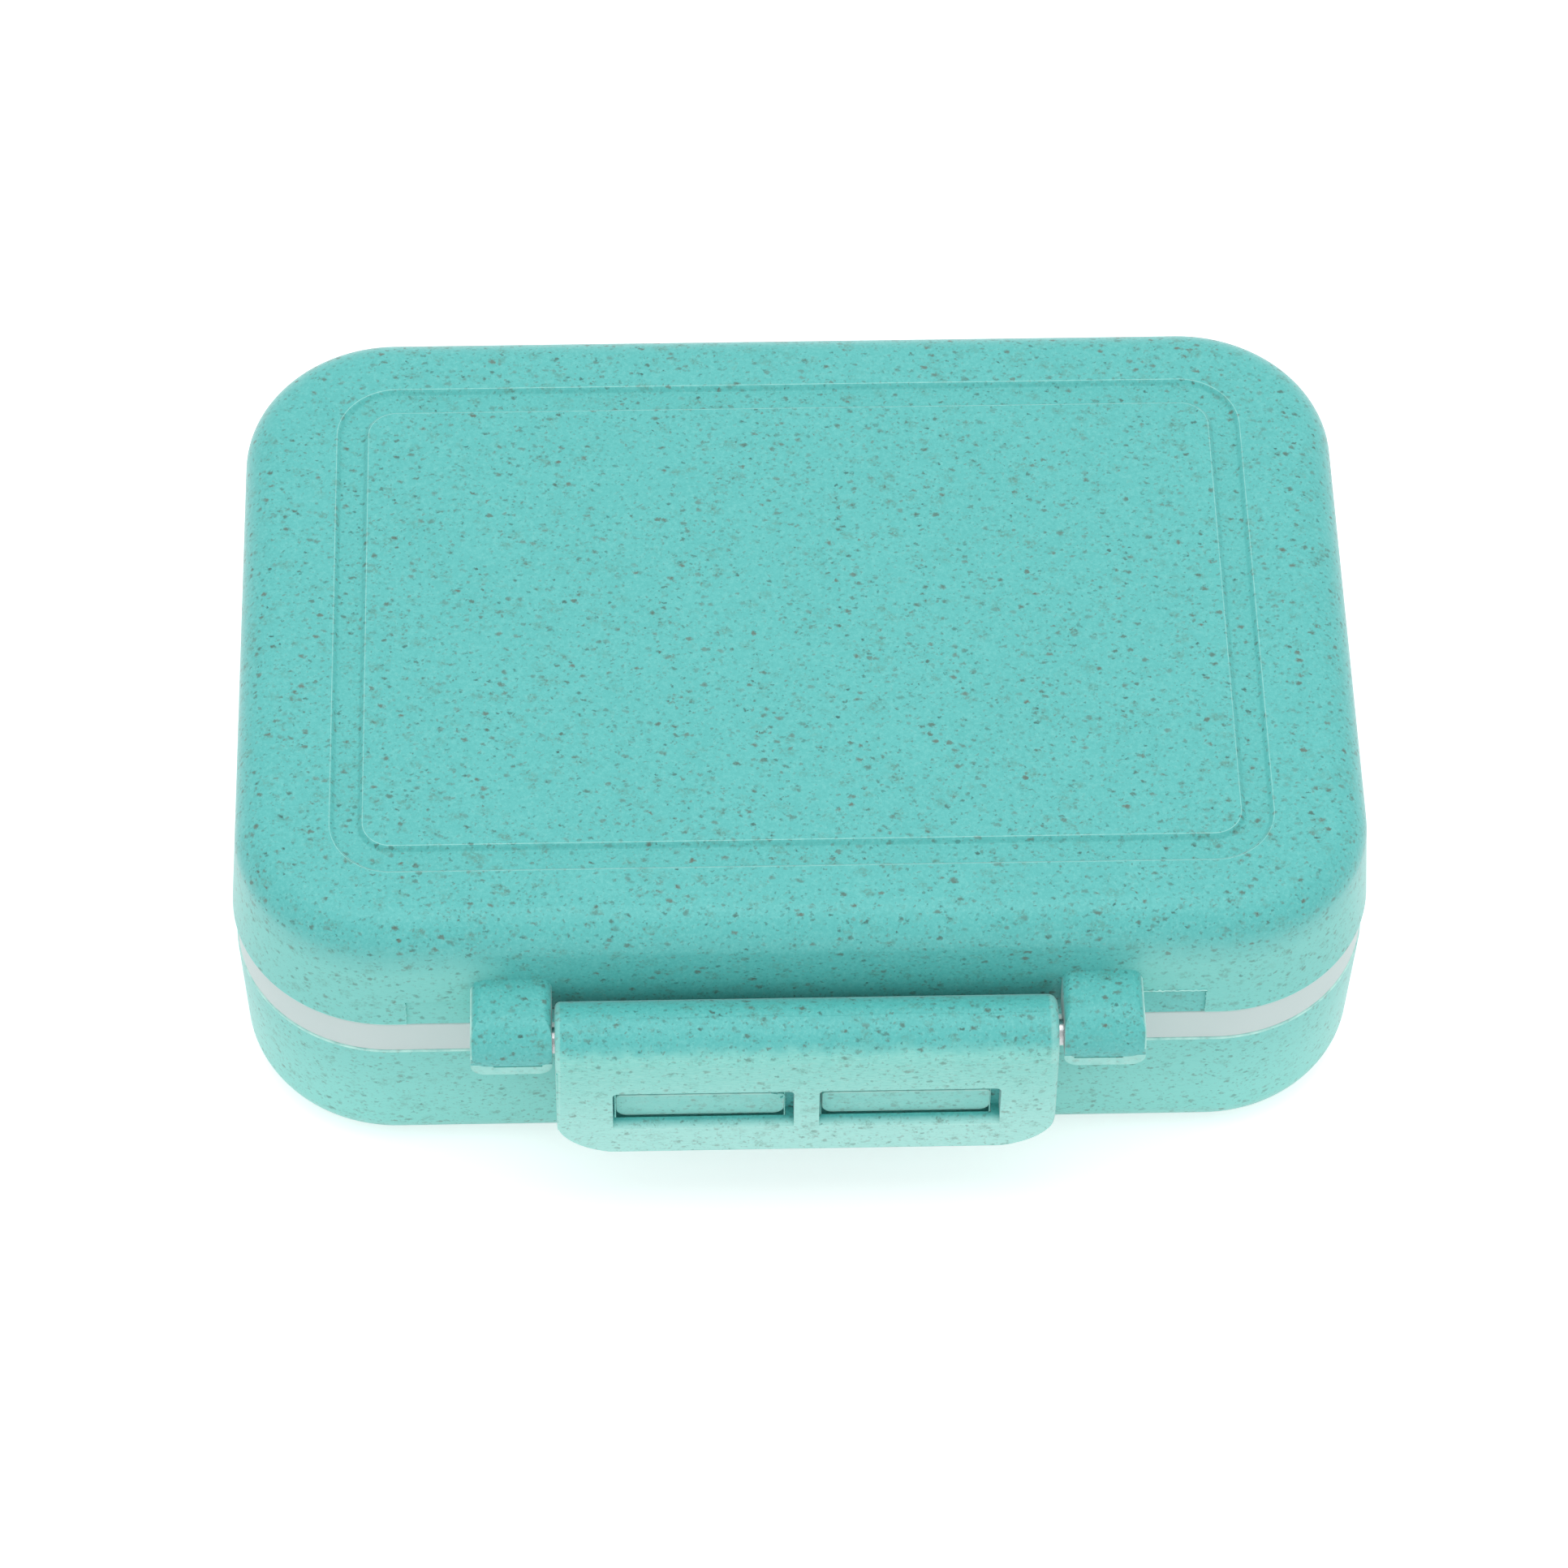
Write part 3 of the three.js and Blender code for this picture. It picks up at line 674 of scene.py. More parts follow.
    grain = clouds(tree, 0.3, 3.0, 0.6)
    rough = node(tree, RANGE, {0: grain, 1: 0.3, 2: 0.7, 3: 0.40, 4: 0.50})
    for rougher in (specks, matt):
        rough = node(tree, MATH, {0: rougher, 1: 0.15, 2: rough}, operation="MULTIPLY_ADD")
    relief = node(tree, MATH, {0: specks, 1: 0.5, 2: grain}, operation="MULTIPLY_ADD")
    streaked = node(tree, MATH, {0: matt, 1: 0.8 * streaky}, operation="MULTIPLY")
    relief = node(tree, MATH, {0: streaked, 1: streaks, 2: relief}, operation="MULTIPLY_ADD")
    bump = node(tree, "ShaderNodeBump", {"Height": relief, "Strength": 0.3, "Distance": 0.00003})
    return surfaced(material, {"Base Color": body, "Roughness": rough, "IOR": 1.49, "Sheen Weight": 0.5,
                               "Sheen Roughness": 0.35, "Normal": bump})


def frosted_polypropylene():
    """Natural polypropylene with a fine moulded frost: milky white that lets a little light into it. Its
    white
    is painted greyer and faintly turquoise: painted shade, and painted bounce from the turquoise case around
    it.
    """
    material, tree = new_material("frosted_polypropylene")
    colour = node(tree, MIX, {0: clouds(tree, 9.0), 6: linear("#cbdbda"), 7: linear("#d3e2e1")},
                  data_type="RGBA").outputs[2]
    grain = clouds(tree, 0.3, 3.0, 0.6)
    rough = node(tree, RANGE, {0: grain, 1: 0.3, 2: 0.7, 3: 0.42, 4: 0.55})
    bump = node(tree, "ShaderNodeBump", {"Height": grain, "Strength": 0.25, "Distance": 0.00002})
    return surfaced(material, {"Base Color": colour, "Roughness": rough, "Normal": bump, "IOR": 1.49,
                               "Subsurface Weight": 0.2, "Subsurface Radius": (1.0, 1.0, 1.0),
                               "Subsurface Scale": 0.0012})


def clear_frosted_polypropylene():
    """Clarified polypropylene with a light frost: cross walls that show what lies behind them softly."""
    material, tree = new_material("clear_frosted_polypropylene")
    grain = clouds(tree, 0.4, 3.0)
    rough = node(tree, RANGE, {0: grain, 1: 0.3, 2: 0.7, 3: 0.3, 4: 0.42})
    colour = node(tree, MIX, {0: grain, 6: linear("#e2eeec"), 7: linear("#eef5f4")},
                  data_type="RGBA").outputs[2]
    bump = node(tree, "ShaderNodeBump", {"Height": grain, "Strength": 0.2, "Distance": 0.00002})
    return surfaced(material, {"Base Color": colour, "Roughness": rough, "Normal": bump, "IOR": 1.49,
                               "Transmission Weight": 0.45})


def white_silicone():
    """Pressed white silicone: soft, matt and a little dusty, with no gloss to its edges."""
    material, tree = new_material("white_silicone")
    dust = clouds(tree, 1.2, 4.0)
    colour = node(tree, MIX, {0: dust, 6: linear("#dfe3df"), 7: linear("#ecefec")},
                  data_type="RGBA").outputs[2]
    rough = node(tree, RANGE, {0: dust, 1: 0.3, 2: 0.7, 3: 0.6, 4: 0.78})
    return surfaced(material, {"Base Color": colour, "Roughness": rough, "IOR": 1.41})


def drawn_steel():
    """Drawn stainless steel wire: grey, with fine lines along its length that break up its glints."""
    material, tree = new_material("drawn_steel")
    lines = clouds(tree, (6.0, 0.12, 0.12), 3.0)
    colour = node(tree, MIX, {0: lines, 6: linear("#aeb3b5"), 7: linear("#cdd0d1")},
                  data_type="RGBA").outputs[2]
    rough = node(tree, RANGE, {0: lines, 1: 0.3, 2: 0.7, 3: 0.18, 4: 0.3})
    bump = node(tree, "ShaderNodeBump", {"Height": lines, "Strength": 0.15, "Distance": 0.00001})
    return surfaced(material, {"Base Color": colour, "Roughness": rough, "Metallic": 1.0, "Normal": bump})


# The matt parts are painted pale, paler low down: painted light for the floor's bounce. The flap's copy is
# painted paler on its plate and left unpainted on the upper part of its barrel.
straw_plastic = wheat_straw_polypropylene("wheat_straw_polypropylene", "#94e8df", "#82d8d0", (3.0, 20.0),
                                          (60.0, 1.0), 0.3)
flap_plastic = wheat_straw_polypropylene("wheat_straw_polypropylene_flap", "#b4f1e9", "#90e0d6", (11.0, 24.8),
                                         (latch_axis.z / MM + 1.8, 0.8), 1.0)
frosted_plastic = frosted_polypropylene()
clear_plastic = clear_frosted_polypropylene()
silicone = white_silicone()
steel = drawn_steel()


# Camera, fitted to the outline of the case in the photograph
CAMERA_ELEVATION = math.radians(53.31)
CAMERA_YAW = math.radians(-2.28)
CAMERA_ROLL = math.radians(-0.96)
CAMERA_DISTANCE = 612.9 * MM
CAMERA_RIGHT = -0.748 * MM
CAMERA_UP = 4.139 * MM
CAMERA_LENS = 144.66


def make_camera():
    back = Vector((math.sin(CAMERA_YAW) * math.cos(CAMERA_ELEVATION),
                   -math.cos(CAMERA_YAW) * math.cos(CAMERA_ELEVATION), math.sin(CAMERA_ELEVATION)))
    level = Vector((math.cos(CAMERA_YAW), math.sin(CAMERA_YAW), 0.0))
    rise = back.cross(level)
    right = level * math.cos(CAMERA_ROLL) - rise * math.sin(CAMERA_ROLL)
    up = level * math.sin(CAMERA_ROLL) + rise * math.cos(CAMERA_ROLL)
    place = back * CAMERA_DISTANCE + right * CAMERA_RIGHT + up * CAMERA_UP
    data = bpy.data.cameras.new("camera")
    data.sensor_width = 36.0
    data.lens = CAMERA_LENS
    data.clip_start = 0.01
    camera = bpy.data.objects.new("camera", data)
    bpy.context.collection.objects.link(camera)
    camera.matrix_world = Matrix.Translation(place) @ Matrix((right, up, back)).transposed().to_4x4()
    bpy.context.scene.camera = camera


# Node trees that build shapes
def shape_tree(name, sockets):
    """An empty node tree that makes a shape: the tree and its named inputs."""
    tree = bpy.data.node_groups.new(name, "GeometryNodeTree")
    for socket, kind in sockets:
        tree.interface.new_socket(socket, in_out="INPUT", socket_type="NodeSocket" + kind)
    tree.interface.new_socket("Geometry", in_out="OUTPUT", socket_type="NodeSocketGeometry")
    return tree, node(tree, "NodeGroupInput").outputs


def end_tree(tree, shape, material):
    real = node(tree, "GeometryNodeRealizeInstances", {0: shape})
    done = node(tree, "GeometryNodeSetMaterial", {"Geometry": real, "Material": material})
    node(tree, "NodeGroupOutput", {0: done})
    return tree


def run_tree(obj, tree, values):
    """Applies a node tree to an object with named inputs."""
    identifiers = {item.name: item.identifier for item in tree.interface.items_tree if item.in_out == "INPUT"}
    modifier = obj.modifiers.new(tree.name, "NODES")
    modifier.node_group = tree
    for name, value in values.items():
        modifier[identifiers[name]] = value
    apply_modifiers(obj)
    return obj


def empty_object(name):
    obj = bpy.data.objects.new(name, bpy.data.meshes.new(name))
    bpy.context.collection.objects.link(obj)
    return obj


def outward(bm):
    bmesh.ops.recalc_face_normals(bm, faces=bm.faces)


# Fine mould flash: round beads along paths
def bead_tree():
    tree, given = shape_tree("bead_along_path", (("Path", "Geometry"), ("Radius", "Float"), ("Sides", "Int"),
                                                 ("Material", "Material")))
    path = node(tree, "GeometryNodeMeshToCurve", {0: given["Path"]})
    section = node(tree, "GeometryNodeCurvePrimitiveCircle",
                   {"Resolution": given["Sides"], "Radius": given["Radius"]})
    swept = node(tree, "GeometryNodeCurveToMesh",
                 {"Curve": path, "Profile Curve": section, "Fill Caps": True})
    return end_tree(tree, swept, given["Material"])


beads = bead_tree()


def bead(points, radius):
    obj = empty_object("bead")

    def draw(bm):
        verts = [bm.verts.new(point) for point in points]
        for pair in zip(verts, verts[1:]):
            bm.edges.new(pair)
    edit(obj, draw)
    run_tree(obj, beads, {"Radius": radius, "Sides": 8, "Material": straw_plastic})
    return edit(obj, outward)


def wander(index, reach):
    """A small fixed wandering, different at each step of a path."""
    return reach * (0.6 * math.sin(index * 2.4 + 0.7) + 0.4 * math.sin(index * 5.3 + 2.1))


def spread(first, second):
    return min(first, second), max(first, second)


# Lid
def lid_wall_y(z):
    """How far forward the lid's front wall stands at a height."""
    return FRONT_FACE + LID_DRAFT * (z - LID_BOTTOM) / (LID_TOP - LID_FILLET - LID_BOTTOM)


def lid_profile():
    inner_inset = LID_DRAFT + LID_WALL
    inner_radius = LID_FILLET - LID_WALL
    inner_top = LID_TOP - LID_TOP_THICKNESS
    inner = arc(inner_inset + inner_radius, inner_top - inner_radius, inner_radius, 90, 0)
    rim_z = LID_BOTTOM + RIM_RADIUS
    rim = arc(LID_WALL - RIM_RADIUS, rim_z, RIM_RADIUS, 180, 270, 4)
    rim += arc(RIM_RADIUS, rim_z, RIM_RADIUS, -90, 0, 4)
    # A row of the wall at the height where its painted paleness is full.
    pale_fade_row = [(lid_wall_y(MATT_PALE_LEVEL) - FRONT_FACE, MATT_PALE_LEVEL)]
    outer = arc(LID_DRAFT + LID_FILLET, LID_TOP - LID_FILLET, LID_FILLET, 0, 90, 18)
    return inner + rim + pale_fade_row + outer


def groove_rings():
    """Down the groove's outer edge and up its inner one, each an S-shaped step."""
    steps = 12
    low, high = LID_TOP - GROOVE_DEPTH, LID_TOP
    rings = []
    for inset, start, end in ((0.0, high, low), (GROOVE_WIDTH, low, high)):
        for step in range(steps + 1):
            share = step / steps
            across = inset + (share - 0.5) * 2 * GROOVE_EDGE
            z = start + (end - start) * (1 - math.cos(math.pi * share)) / 2
            rings.append((rounded_outline(GROOVE_HALF_WIDTH - across, GROOVE_HALF_DEPTH - across,
                                          GROOVE_CORNER - across), z))
    return rings


def ear_side(near, top, bottom, root, nose):
    """The ear's outline seen from the side, with a round nose at its upper front."""
    front = circle(near + nose, top - nose, nose, 90, 180, 20)
    return [(root, bottom), (root, top)] + front + [(near, bottom)]


def ear_front(start, end, bottom, top, toe, head):
    """The ear's outline seen from the front, with round corners."""
    upper = circle(end - head, top - head, head, 0, 90, 8)
    upper += circle(start + head, top - head, head, 90, 180, 8)
    lower = circle(start + toe, bottom + toe, toe, 180, 270, 8)
    lower += circle(end - toe, bottom + toe, toe, 270, 360, 8)
    return upper + lower


def ear_block(name, side_outline, front_outline, start, end, root):
    """A block with one outline seen from the side and another from the front."""
    made = extruded(name, side_outline, start, end, "X")
    low = min(y for y, _ in side_outline)
    view = extruded("view", front_outline, low - OVERRUN, root + OVERRUN, "Y")
    return combine(made, [view], "INTERSECT")


def latch_ear(side):
    """An ear of the latch pin: a block with round corners, a little proud of a plate that shows below it as
    a lip and on its outer side as a narrow flange."""
    inner = EAR_SHIFT + side * (flap_high.x + EAR_GAP)
    outer = inner + side * EAR_WIDTH
    front = latch_axis.y - EAR_FRONT
    plate_front = front + EAR_LIP_STEP
    top = latch_axis.z + EAR_ABOVE_PIN
    bottom = latch_axis.z - EAR_BELOW_PIN
    crease = bottom + EAR_LIP_HEIGHT
    root = FRONT_FACE + LID_DRAFT + EMBED

    def rim(edge):
        return reach_of(edge, 1)[1] < root - SAME_PLACE and not lies_along(edge, 0)

    start, end = spread(inner, outer)
    outline = ear_front(start, end, crease, top, EAR_TOE_CORNER, EAR_TOP_CORNER)
    ear = ear_block("ear", ear_side(front, top, crease, root, EAR_NOSE), outline, start, end, root)
    soften(ear, EAR_EDGE, rim, 3, 40.0)

    start, end = spread(inner, outer + side * EAR_FLANGE)
    plate_top = top - EAR_PLATE_DROP
    outline = ear_front(start, end, bottom, plate_top, EAR_TOE_CORNER, EAR_TOP_CORNER)
    side_view = ear_side(plate_front, plate_top, bottom, root, EAR_NOSE)
    plate = ear_block("plate", side_view, outline, start, end, root)
    soften(plate, EAR_PLATE_EDGE, rim, 3, 40.0)
    start, end = spread(inner + side * EAR_CREASE_INNER_END, outer - side * EAR_CREASE_OUTER_END)
    slit = block("slit", (start, front - OVERRUN, crease - EAR_CREASE),
                 (end, plate_front + EAR_CREASE_DEPTH, crease + EMBED))
    combine(plate, [slit], "DIFFERENCE")

    combine(ear, [plate], "UNION")
    bore_end = outer + OVERRUN if side > 0 else outer + EAR_END_WALL
    bore = round_bar("bore", latch_axis, PIN_SEAT, *spread(inner - side * OVERRUN, bore_end))
    return combine(ear, [bore], "DIFFERENCE")


def lid_knuckle(side):
    start = side * (BASE_KNUCKLE_HALF + LID_KNUCKLE_GAP)
    far = start + side * LID_KNUCKLE_LENGTH
    root = REAR_FACE - LID_DRAFT - EMBED
    under = LID_BOTTOM + HINGE_ARM_STEP
    outline = [(root, under), (REAR_FACE, under),
               (hinge_axis.y - HINGE_ARM_TOUCH_Y, hinge_axis.z + HINGE_ARM_TOUCH_Z)]
    outline += circle(hinge_axis.y, hinge_axis.z, HINGE_BARREL, 170, 395, 48)
    outline += [(REAR_FACE + EMBED, LID_BOTTOM + HINGE_ARM), (root, LID_BOTTOM + HINGE_ARM)]
    knuckle = extruded("knuckle", outline, *spread(start, far), "X")
    soften(knuckle, KNUCKLE_EDGE, lambda edge: at_end(edge) and reach_of(edge, 1)[1] > root + SAME_PLACE)
    bore_end = far + OVERRUN if side > 0 else far + HINGE_END_WALL
    bore = round_bar("bore", hinge_axis, PIN_RUNNING, *spread(start - side * OVERRUN, bore_end))
    return combine(knuckle, [bore], "DIFFERENCE")


def patch_edges(side):
    near = EAR_SHIFT + side * (flap_high.x + EAR_GAP + EAR_WIDTH)
    return near, near + side * PATCH_WIDTH


def patch_cut(side):
    """Cuts a shallow rectangle into the lid's front wall beside an ear."""
    under, top = LID_BOTTOM - OVERRUN, LID_BOTTOM + PATCH_HEIGHT
    outline = [(FRONT_FACE - OVERRUN, under), (lid_wall_y(under) + PATCH_DEPTH, under),
               (lid_wall_y(top) + PATCH_DEPTH, top), (FRONT_FACE - OVERRUN, top)]
    return extruded("patch", outline, *spread(*patch_edges(side)), "X")


def patch_flash(side):
    """Thin ragged flash along a patch's upper edge and outer end."""
    near, far = patch_edges(side)
    top = LID_BOTTOM + PATCH_HEIGHT
    ragged, radius = PATCH_FLASH[side]
    along = [(near + (far - near) * step / 24, top - max(wander(step, ragged), 0.0))
             for step in range(25)]
    down = [(far + wander(step, 0.05 * MM), top - PATCH_HEIGHT * step / 14) for step in range(1, 14)]
    paths = [bead([(x, lid_wall_y(z) + 0.03 * MM, z) for x, z in along], radius),
             bead([(x, lid_wall_y(z) + 0.03 * MM, z) for x, z in down], PATCH_END_FLASH)]
    if side > 0:
        middle = [(near + (0.25 + 0.55 * step / 10) * (far - near), top - 0.12 * MM
                   - 0.16 * MM * math.sin(math.pi * step / 10)) for step in range(11)]
        paths.append(bead([(x, lid_wall_y(z) + 0.06 * MM, z) for x, z in middle], PATCH_MIDDLE_FLASH))
    return paths


def lid_matt_and_pale(middle, place, normal):
    """The lid's walls and the lips of its ears are matt and painted pale, the walls more so down their upper
    part: the paleness is painted light for the floor's bounce. The ears above their lips and the wall
    between them are left unpainted, so they stay darker."""
    if middle.y > FRONT_FACE - 0.1 * MM:
        if normal.z > 0.9:
            return 0.0
        near, far = patch_edges(1)
        in_patch = near < middle.x < far and middle.z < LID_BOTTOM + PATCH_HEIGHT
        if in_patch and 0.1 * MM < middle.y - FRONT_FACE < 2 * MM:
            return 0.35
        down = min(max((MATT_PALE_TOP - place.z) / (MATT_PALE_TOP - MATT_PALE_LEVEL), 0.0), 1.0)
        beside = min(max((abs(place.x) - MATT_PALE_START) / (MATT_PALE_FULL - MATT_PALE_START), 0.0), 1.0)
        return down * (beside if middle.y < FRONT_FACE + 2 * MM else 1.0)
    return 1.0 if middle.z < latch_axis.z - EAR_BELOW_PIN + EAR_LIP_HEIGHT - NEAR else 0.0


def ear_lip_painted_highlight(middle, normal):
    """The front of each ear's lip is painted pale, and so is its flange, more strongly: a painted highlight.
    """
    if middle.y > lid_wall_y(middle.z) - 0.05 * MM:
        return 0.0
    if abs(middle.x - EAR_SHIFT) > flap_high.x + EAR_GAP + EAR_WIDTH + 0.01 * MM:
        return 0.9
    near_plate = abs(middle.y - (latch_axis.y - EAR_FRONT + EAR_LIP_STEP)) < 0.02 * MM
    below = middle.z < latch_axis.z - EAR_BELOW_PIN + EAR_LIP_HEIGHT
    return 0.5 if near_plate and below and normal.y < -0.9 else 0.0


def make_lid():
    lid = stacked("lid_shell_smooth", case_rings(lid_profile()) + groove_rings())
    clean = shaded_copy(lid)
    combine(lid, [patch_cut(-1), patch_cut(1)], "DIFFERENCE")
    combine(lid, [latch_ear(-1), latch_ear(1), lid_knuckle(-1), lid_knuckle(1)], "UNION")
    for x in (-MATT_PALE_FULL, -MATT_PALE_START, MATT_PALE_START, MATT_PALE_FULL):
        edit(lid, lambda bm: bmesh.ops.bisect_plane(bm, geom=bm.verts[:] + bm.edges[:] + bm.faces[:],
                                                    plane_co=(x, 0, 0), plane_no=(1, 0, 0)))
    joined(lid, patch_flash(-1) + patch_flash(1))
    return finish(lid, "lid", straw_plastic, ["lid_shell"], clean, lid_matt_and_pale, ear_lip_painted_highlight)


# Base
def base_profile():
    inner_inset = BASE_INSET + BASE_DRAFT + BASE_WALL
    inner_radius = BASE_FILLET - BASE_WALL
    inner = arc(inner_inset + inner_radius, BASE_WALL + inner_radius, inner_radius, -90, 0)
    rim_z = BASE_HEIGHT - RIM_RADIUS
    rim = arc(BASE_INSET + BASE_WALL - RIM_RADIUS, rim_z, RIM_RADIUS, 180, 90, 4)
    rim += arc(BASE_INSET + RIM_RADIUS, rim_z, RIM_RADIUS, 90, 0, 4)
    outer = arc(BASE_INSET + BASE_DRAFT + BASE_FILLET, BASE_FILLET, BASE_FILLET, 0, -90, 18)
    return inner + rim + outer


def bar_span(side):
    """The ends of a snap bar along X."""
    middle = BAR_SHIFT + side * (SLOT_WEB / 2 + SLOT_WIDTH / 2)
    return middle - BAR_WIDTH / 2, middle + BAR_WIDTH / 2


def snap_bar(side):
    start, end = bar_span(side)
    front = flap_low.y + BAR_RECESS
    root = FRONT_FACE + BASE_INSET + BASE_DRAFT + EMBED
    step = FRONT_FACE - BAR_STEP
    outline = [(front, BAR_BOTTOM), (root, BAR_BOTTOM), (root, BASE_HEIGHT), (step, BASE_HEIGHT),
               (step, BAR_TOP), (front, BAR_TOP)]
    bar = extruded("bar", outline, start, end, "X")

    def lower_corner(edge):
        return lies_along(edge, 1) and reach_of(edge, 2)[1] < BAR_BOTTOM + SAME_PLACE

    def upper_corner(edge):
        return lies_along(edge, 1) and reach_of(edge, 2)[0] > BAR_TOP - SAME_PLACE

    soften(bar, BAR_CORNER, lower_corner, 7)
    soften(bar, BAR_TOP_CORNER, upper_corner, 5)
    soften(bar, BAR_EDGE, lambda edge: reach_of(edge, 1)[1] < front + SAME_PLACE, 3)
    heel = block("heel", (start, front + HEEL_RECESS, HEEL_BOTTOM), (end, root, BAR_BOTTOM + HEEL_OVERLAP))
    return combine(bar, [heel], "UNION")


def bar_curl():
    """A curl of flash at the upper right-hand corner of the left bar, within the gap that the flap leaves."""
    right = bar_span(-1)[1]
    front = flap_low.y + BAR_RECESS
    radius, steps = 0.30 * MM, 14
    middle_x, middle_z = right - 0.31 * MM, BAR_TOP - radius
    points = [(right - 1.2 * MM, front + 0.12 * MM, BAR_TOP - 0.1 * MM)]
    for step in range(steps + 1):
        turn = math.radians(150 - 250 * step / steps)
        y = front + 0.02 * MM - 0.1 * MM * step / steps
        points.append((middle_x + radius * math.cos(turn), y, middle_z + radius * math.sin(turn)))
    return bead(points, BAR_CURL_FLASH)


def base_knuckle():
    root = REAR_FACE - BASE_INSET - BASE_DRAFT - EMBED
    outline = [(root, BASE_HEIGHT - HINGE_ARM), (REAR_FACE + EMBED, BASE_HEIGHT - HINGE_ARM)]
    outline += circle(hinge_axis.y, hinge_axis.z, HINGE_BARREL, -35, 190, 48)
    outline += [(hinge_axis.y - HINGE_ARM_TOUCH_Y, hinge_axis.z - HINGE_ARM_TOUCH_Z),
                (REAR_FACE + 0.3 * MM, BASE_HEIGHT - HINGE_ARM_STEP), (root, BASE_HEIGHT - HINGE_ARM_STEP)]
    knuckle = extruded("knuckle", outline, -BASE_KNUCKLE_HALF, BASE_KNUCKLE_HALF, "X")
    soften(knuckle, KNUCKLE_EDGE, lambda edge: at_end(edge) and reach_of(edge, 1)[1] > root + SAME_PLACE)
    bore = round_bar("bore", hinge_axis, PIN_SEAT, -BASE_KNUCKLE_HALF - OVERRUN, BASE_KNUCKLE_HALF + OVERRUN)
    return combine(knuckle, [bore], "DIFFERENCE")


def base_matt_and_pale(middle, place, normal):
    """The base's walls are matt and painted pale, and so is the front of the bars but not their sides, which
    are left darker: the paleness is painted light for the floor's bounce.
    """
    if middle.y > FRONT_FACE - 0.05 * MM:
        return upright(normal)
    return 1.0 if normal.y < -0.7 and middle.y < flap_low.y + BAR_RECESS + 0.2 * MM else 0.0


def bar_painted_highlight(middle, normal):
    """The front of each snap bar is painted a little pale: painted light that lifts it out of the slot's
    shade.
    """
    return 0.2 if normal.y < -0.95 and abs(middle.y - flap_low.y - BAR_RECESS) < 0.02 * MM else 0.0


def make_base():
    base = stacked("base_shell_smooth", case_rings(base_profile()))
    clean = shaded_copy(base)
    combine(base, [snap_bar(-1), snap_bar(1), base_knuckle()], "UNION")
    joined(base, [bar_curl()])
    return finish(base, "base", straw_plastic, ["base_shell"], clean, base_matt_and_pale,
                  bar_painted_highlight)


# Tray
def tray_profile():
    bottom, top = tray_low.z, tray_high.z
    outer = arc(TRAY_INSET + TRAY_FILLET, bottom + TRAY_FILLET, TRAY_FILLET, -90, 0)
    under = COLLAR_TOP - COLLAR_SKIRT
    collar = [(TRAY_INSET, under), (COLLAR_INSET + COLLAR_SKIRT, under)]
    skirt_z = COLLAR_BOTTOM + COLLAR_EDGE
    collar += arc(COLLAR_INSET + COLLAR_SKIRT - COLLAR_EDGE, skirt_z, COLLAR_EDGE, 180, 270, 4)
    collar += arc(COLLAR_INSET + COLLAR_EDGE, skirt_z, COLLAR_EDGE, -90, 0, 4)
    collar += arc(COLLAR_INSET + RIM_RADIUS, COLLAR_TOP - RIM_RADIUS, RIM_RADIUS, 0, 90, 4)
    collar += [(TRAY_INSET, COLLAR_TOP)]
    rim = arc(TRAY_INSET + TRAY_RIM, top - TRAY_RIM, TRAY_RIM, 0, 90, 4)
    return outer + collar + rim + [(TRAY_INSET + TRAY_WALL + TRAY_RIM, top)]


def tray_row(side):
    """The hollow of one row of compartments, with a small fillet along its floor."""
    half_x = CASE_WIDTH / 2 - TRAY_INSET - TRAY_WALL
    far = CASE_DEPTH / 2 - TRAY_INSET - TRAY_WALL
    near = CENTRE_WALL / 2
    middle, half_y = side * (near + far) / 2, (far - near) / 2
    outer_corner = CORNER_RADIUS - TRAY_INSET - TRAY_WALL
    inner_corner = TRAY_INNER_FILLET + 0.1 * MM
    corners = [outer_corner, outer_corner, inner_corner, inner_corner]
    if side < 0:
        corners = corners[2:] + corners[:2]
    floor = tray_low.z + TRAY_FLOOR
    rings = []
    for inset, z in arc(TRAY_INNER_FILLET, floor + TRAY_INNER_FILLET, TRAY_INNER_FILLET, -90, 0, 6):
        points = rounded_outline(half_x - inset, half_y - inset, [corner - inset for corner in corners])
        rings.append(([(x, y + middle) for x, y in points], z))
    rings.append((rings[-1][0], tray_high.z + OVERRUN))
    return stacked("row", rings)


def make_tray():
    tray = stacked("compartment_tray_smooth", case_rings(tray_profile()))
    combine(tray, [tray_row(-1), tray_row(1)], "DIFFERENCE")
    soften(tray, TRAY_EDGE, lambda edge: reach_of(edge, 2)[0] > tray_high.z - SAME_PLACE, 3)
    return finish(tray, "base", frosted_plastic, ["compartment_tray"])


def divider_nodes():
    return sorted(name for name in frame["nodes"] if name.startswith("divider_"))


def make_divider(name):
    """A cross wall with a finger scoop in its top edge."""
    low, high = size_of(name)
    side = 1 if high.y > 0 else -1
    length = high.y - low.y
    middle = (low.y + high.y) / 2
    scoop_half, scoop_depth, steps = 7.0 * MM, 4.5 * MM, 32
    scoop = [(middle + along * scoop_half, high.z - scoop_depth * (1 + math.cos(along * math.pi)) / 2)
             for along in (1 - 2 * step / steps for step in range(steps + 1))]
    fillet = TRAY_INNER_FILLET
    outline = [(-length / 2, 0.0), (length / 2 - fillet, 0.0)]
    outline += circle(length / 2 - fillet, fillet, fillet, -90, 0, 6)[1:]
    outline = [(middle + side * along, low.z + up) for along, up in outline]
    outline += [(middle + side * length / 2, high.z)]
    outline += scoop if side > 0 else scoop[::-1]
    outline += [(middle - side * length / 2, high.z)]
    wall = extruded(name + "_smooth", outline, low.x, high.x, "X")
    soften(wall, DIVIDER_EDGE, segments=3)
    return finish(wall, "base", clear_plastic, [name])


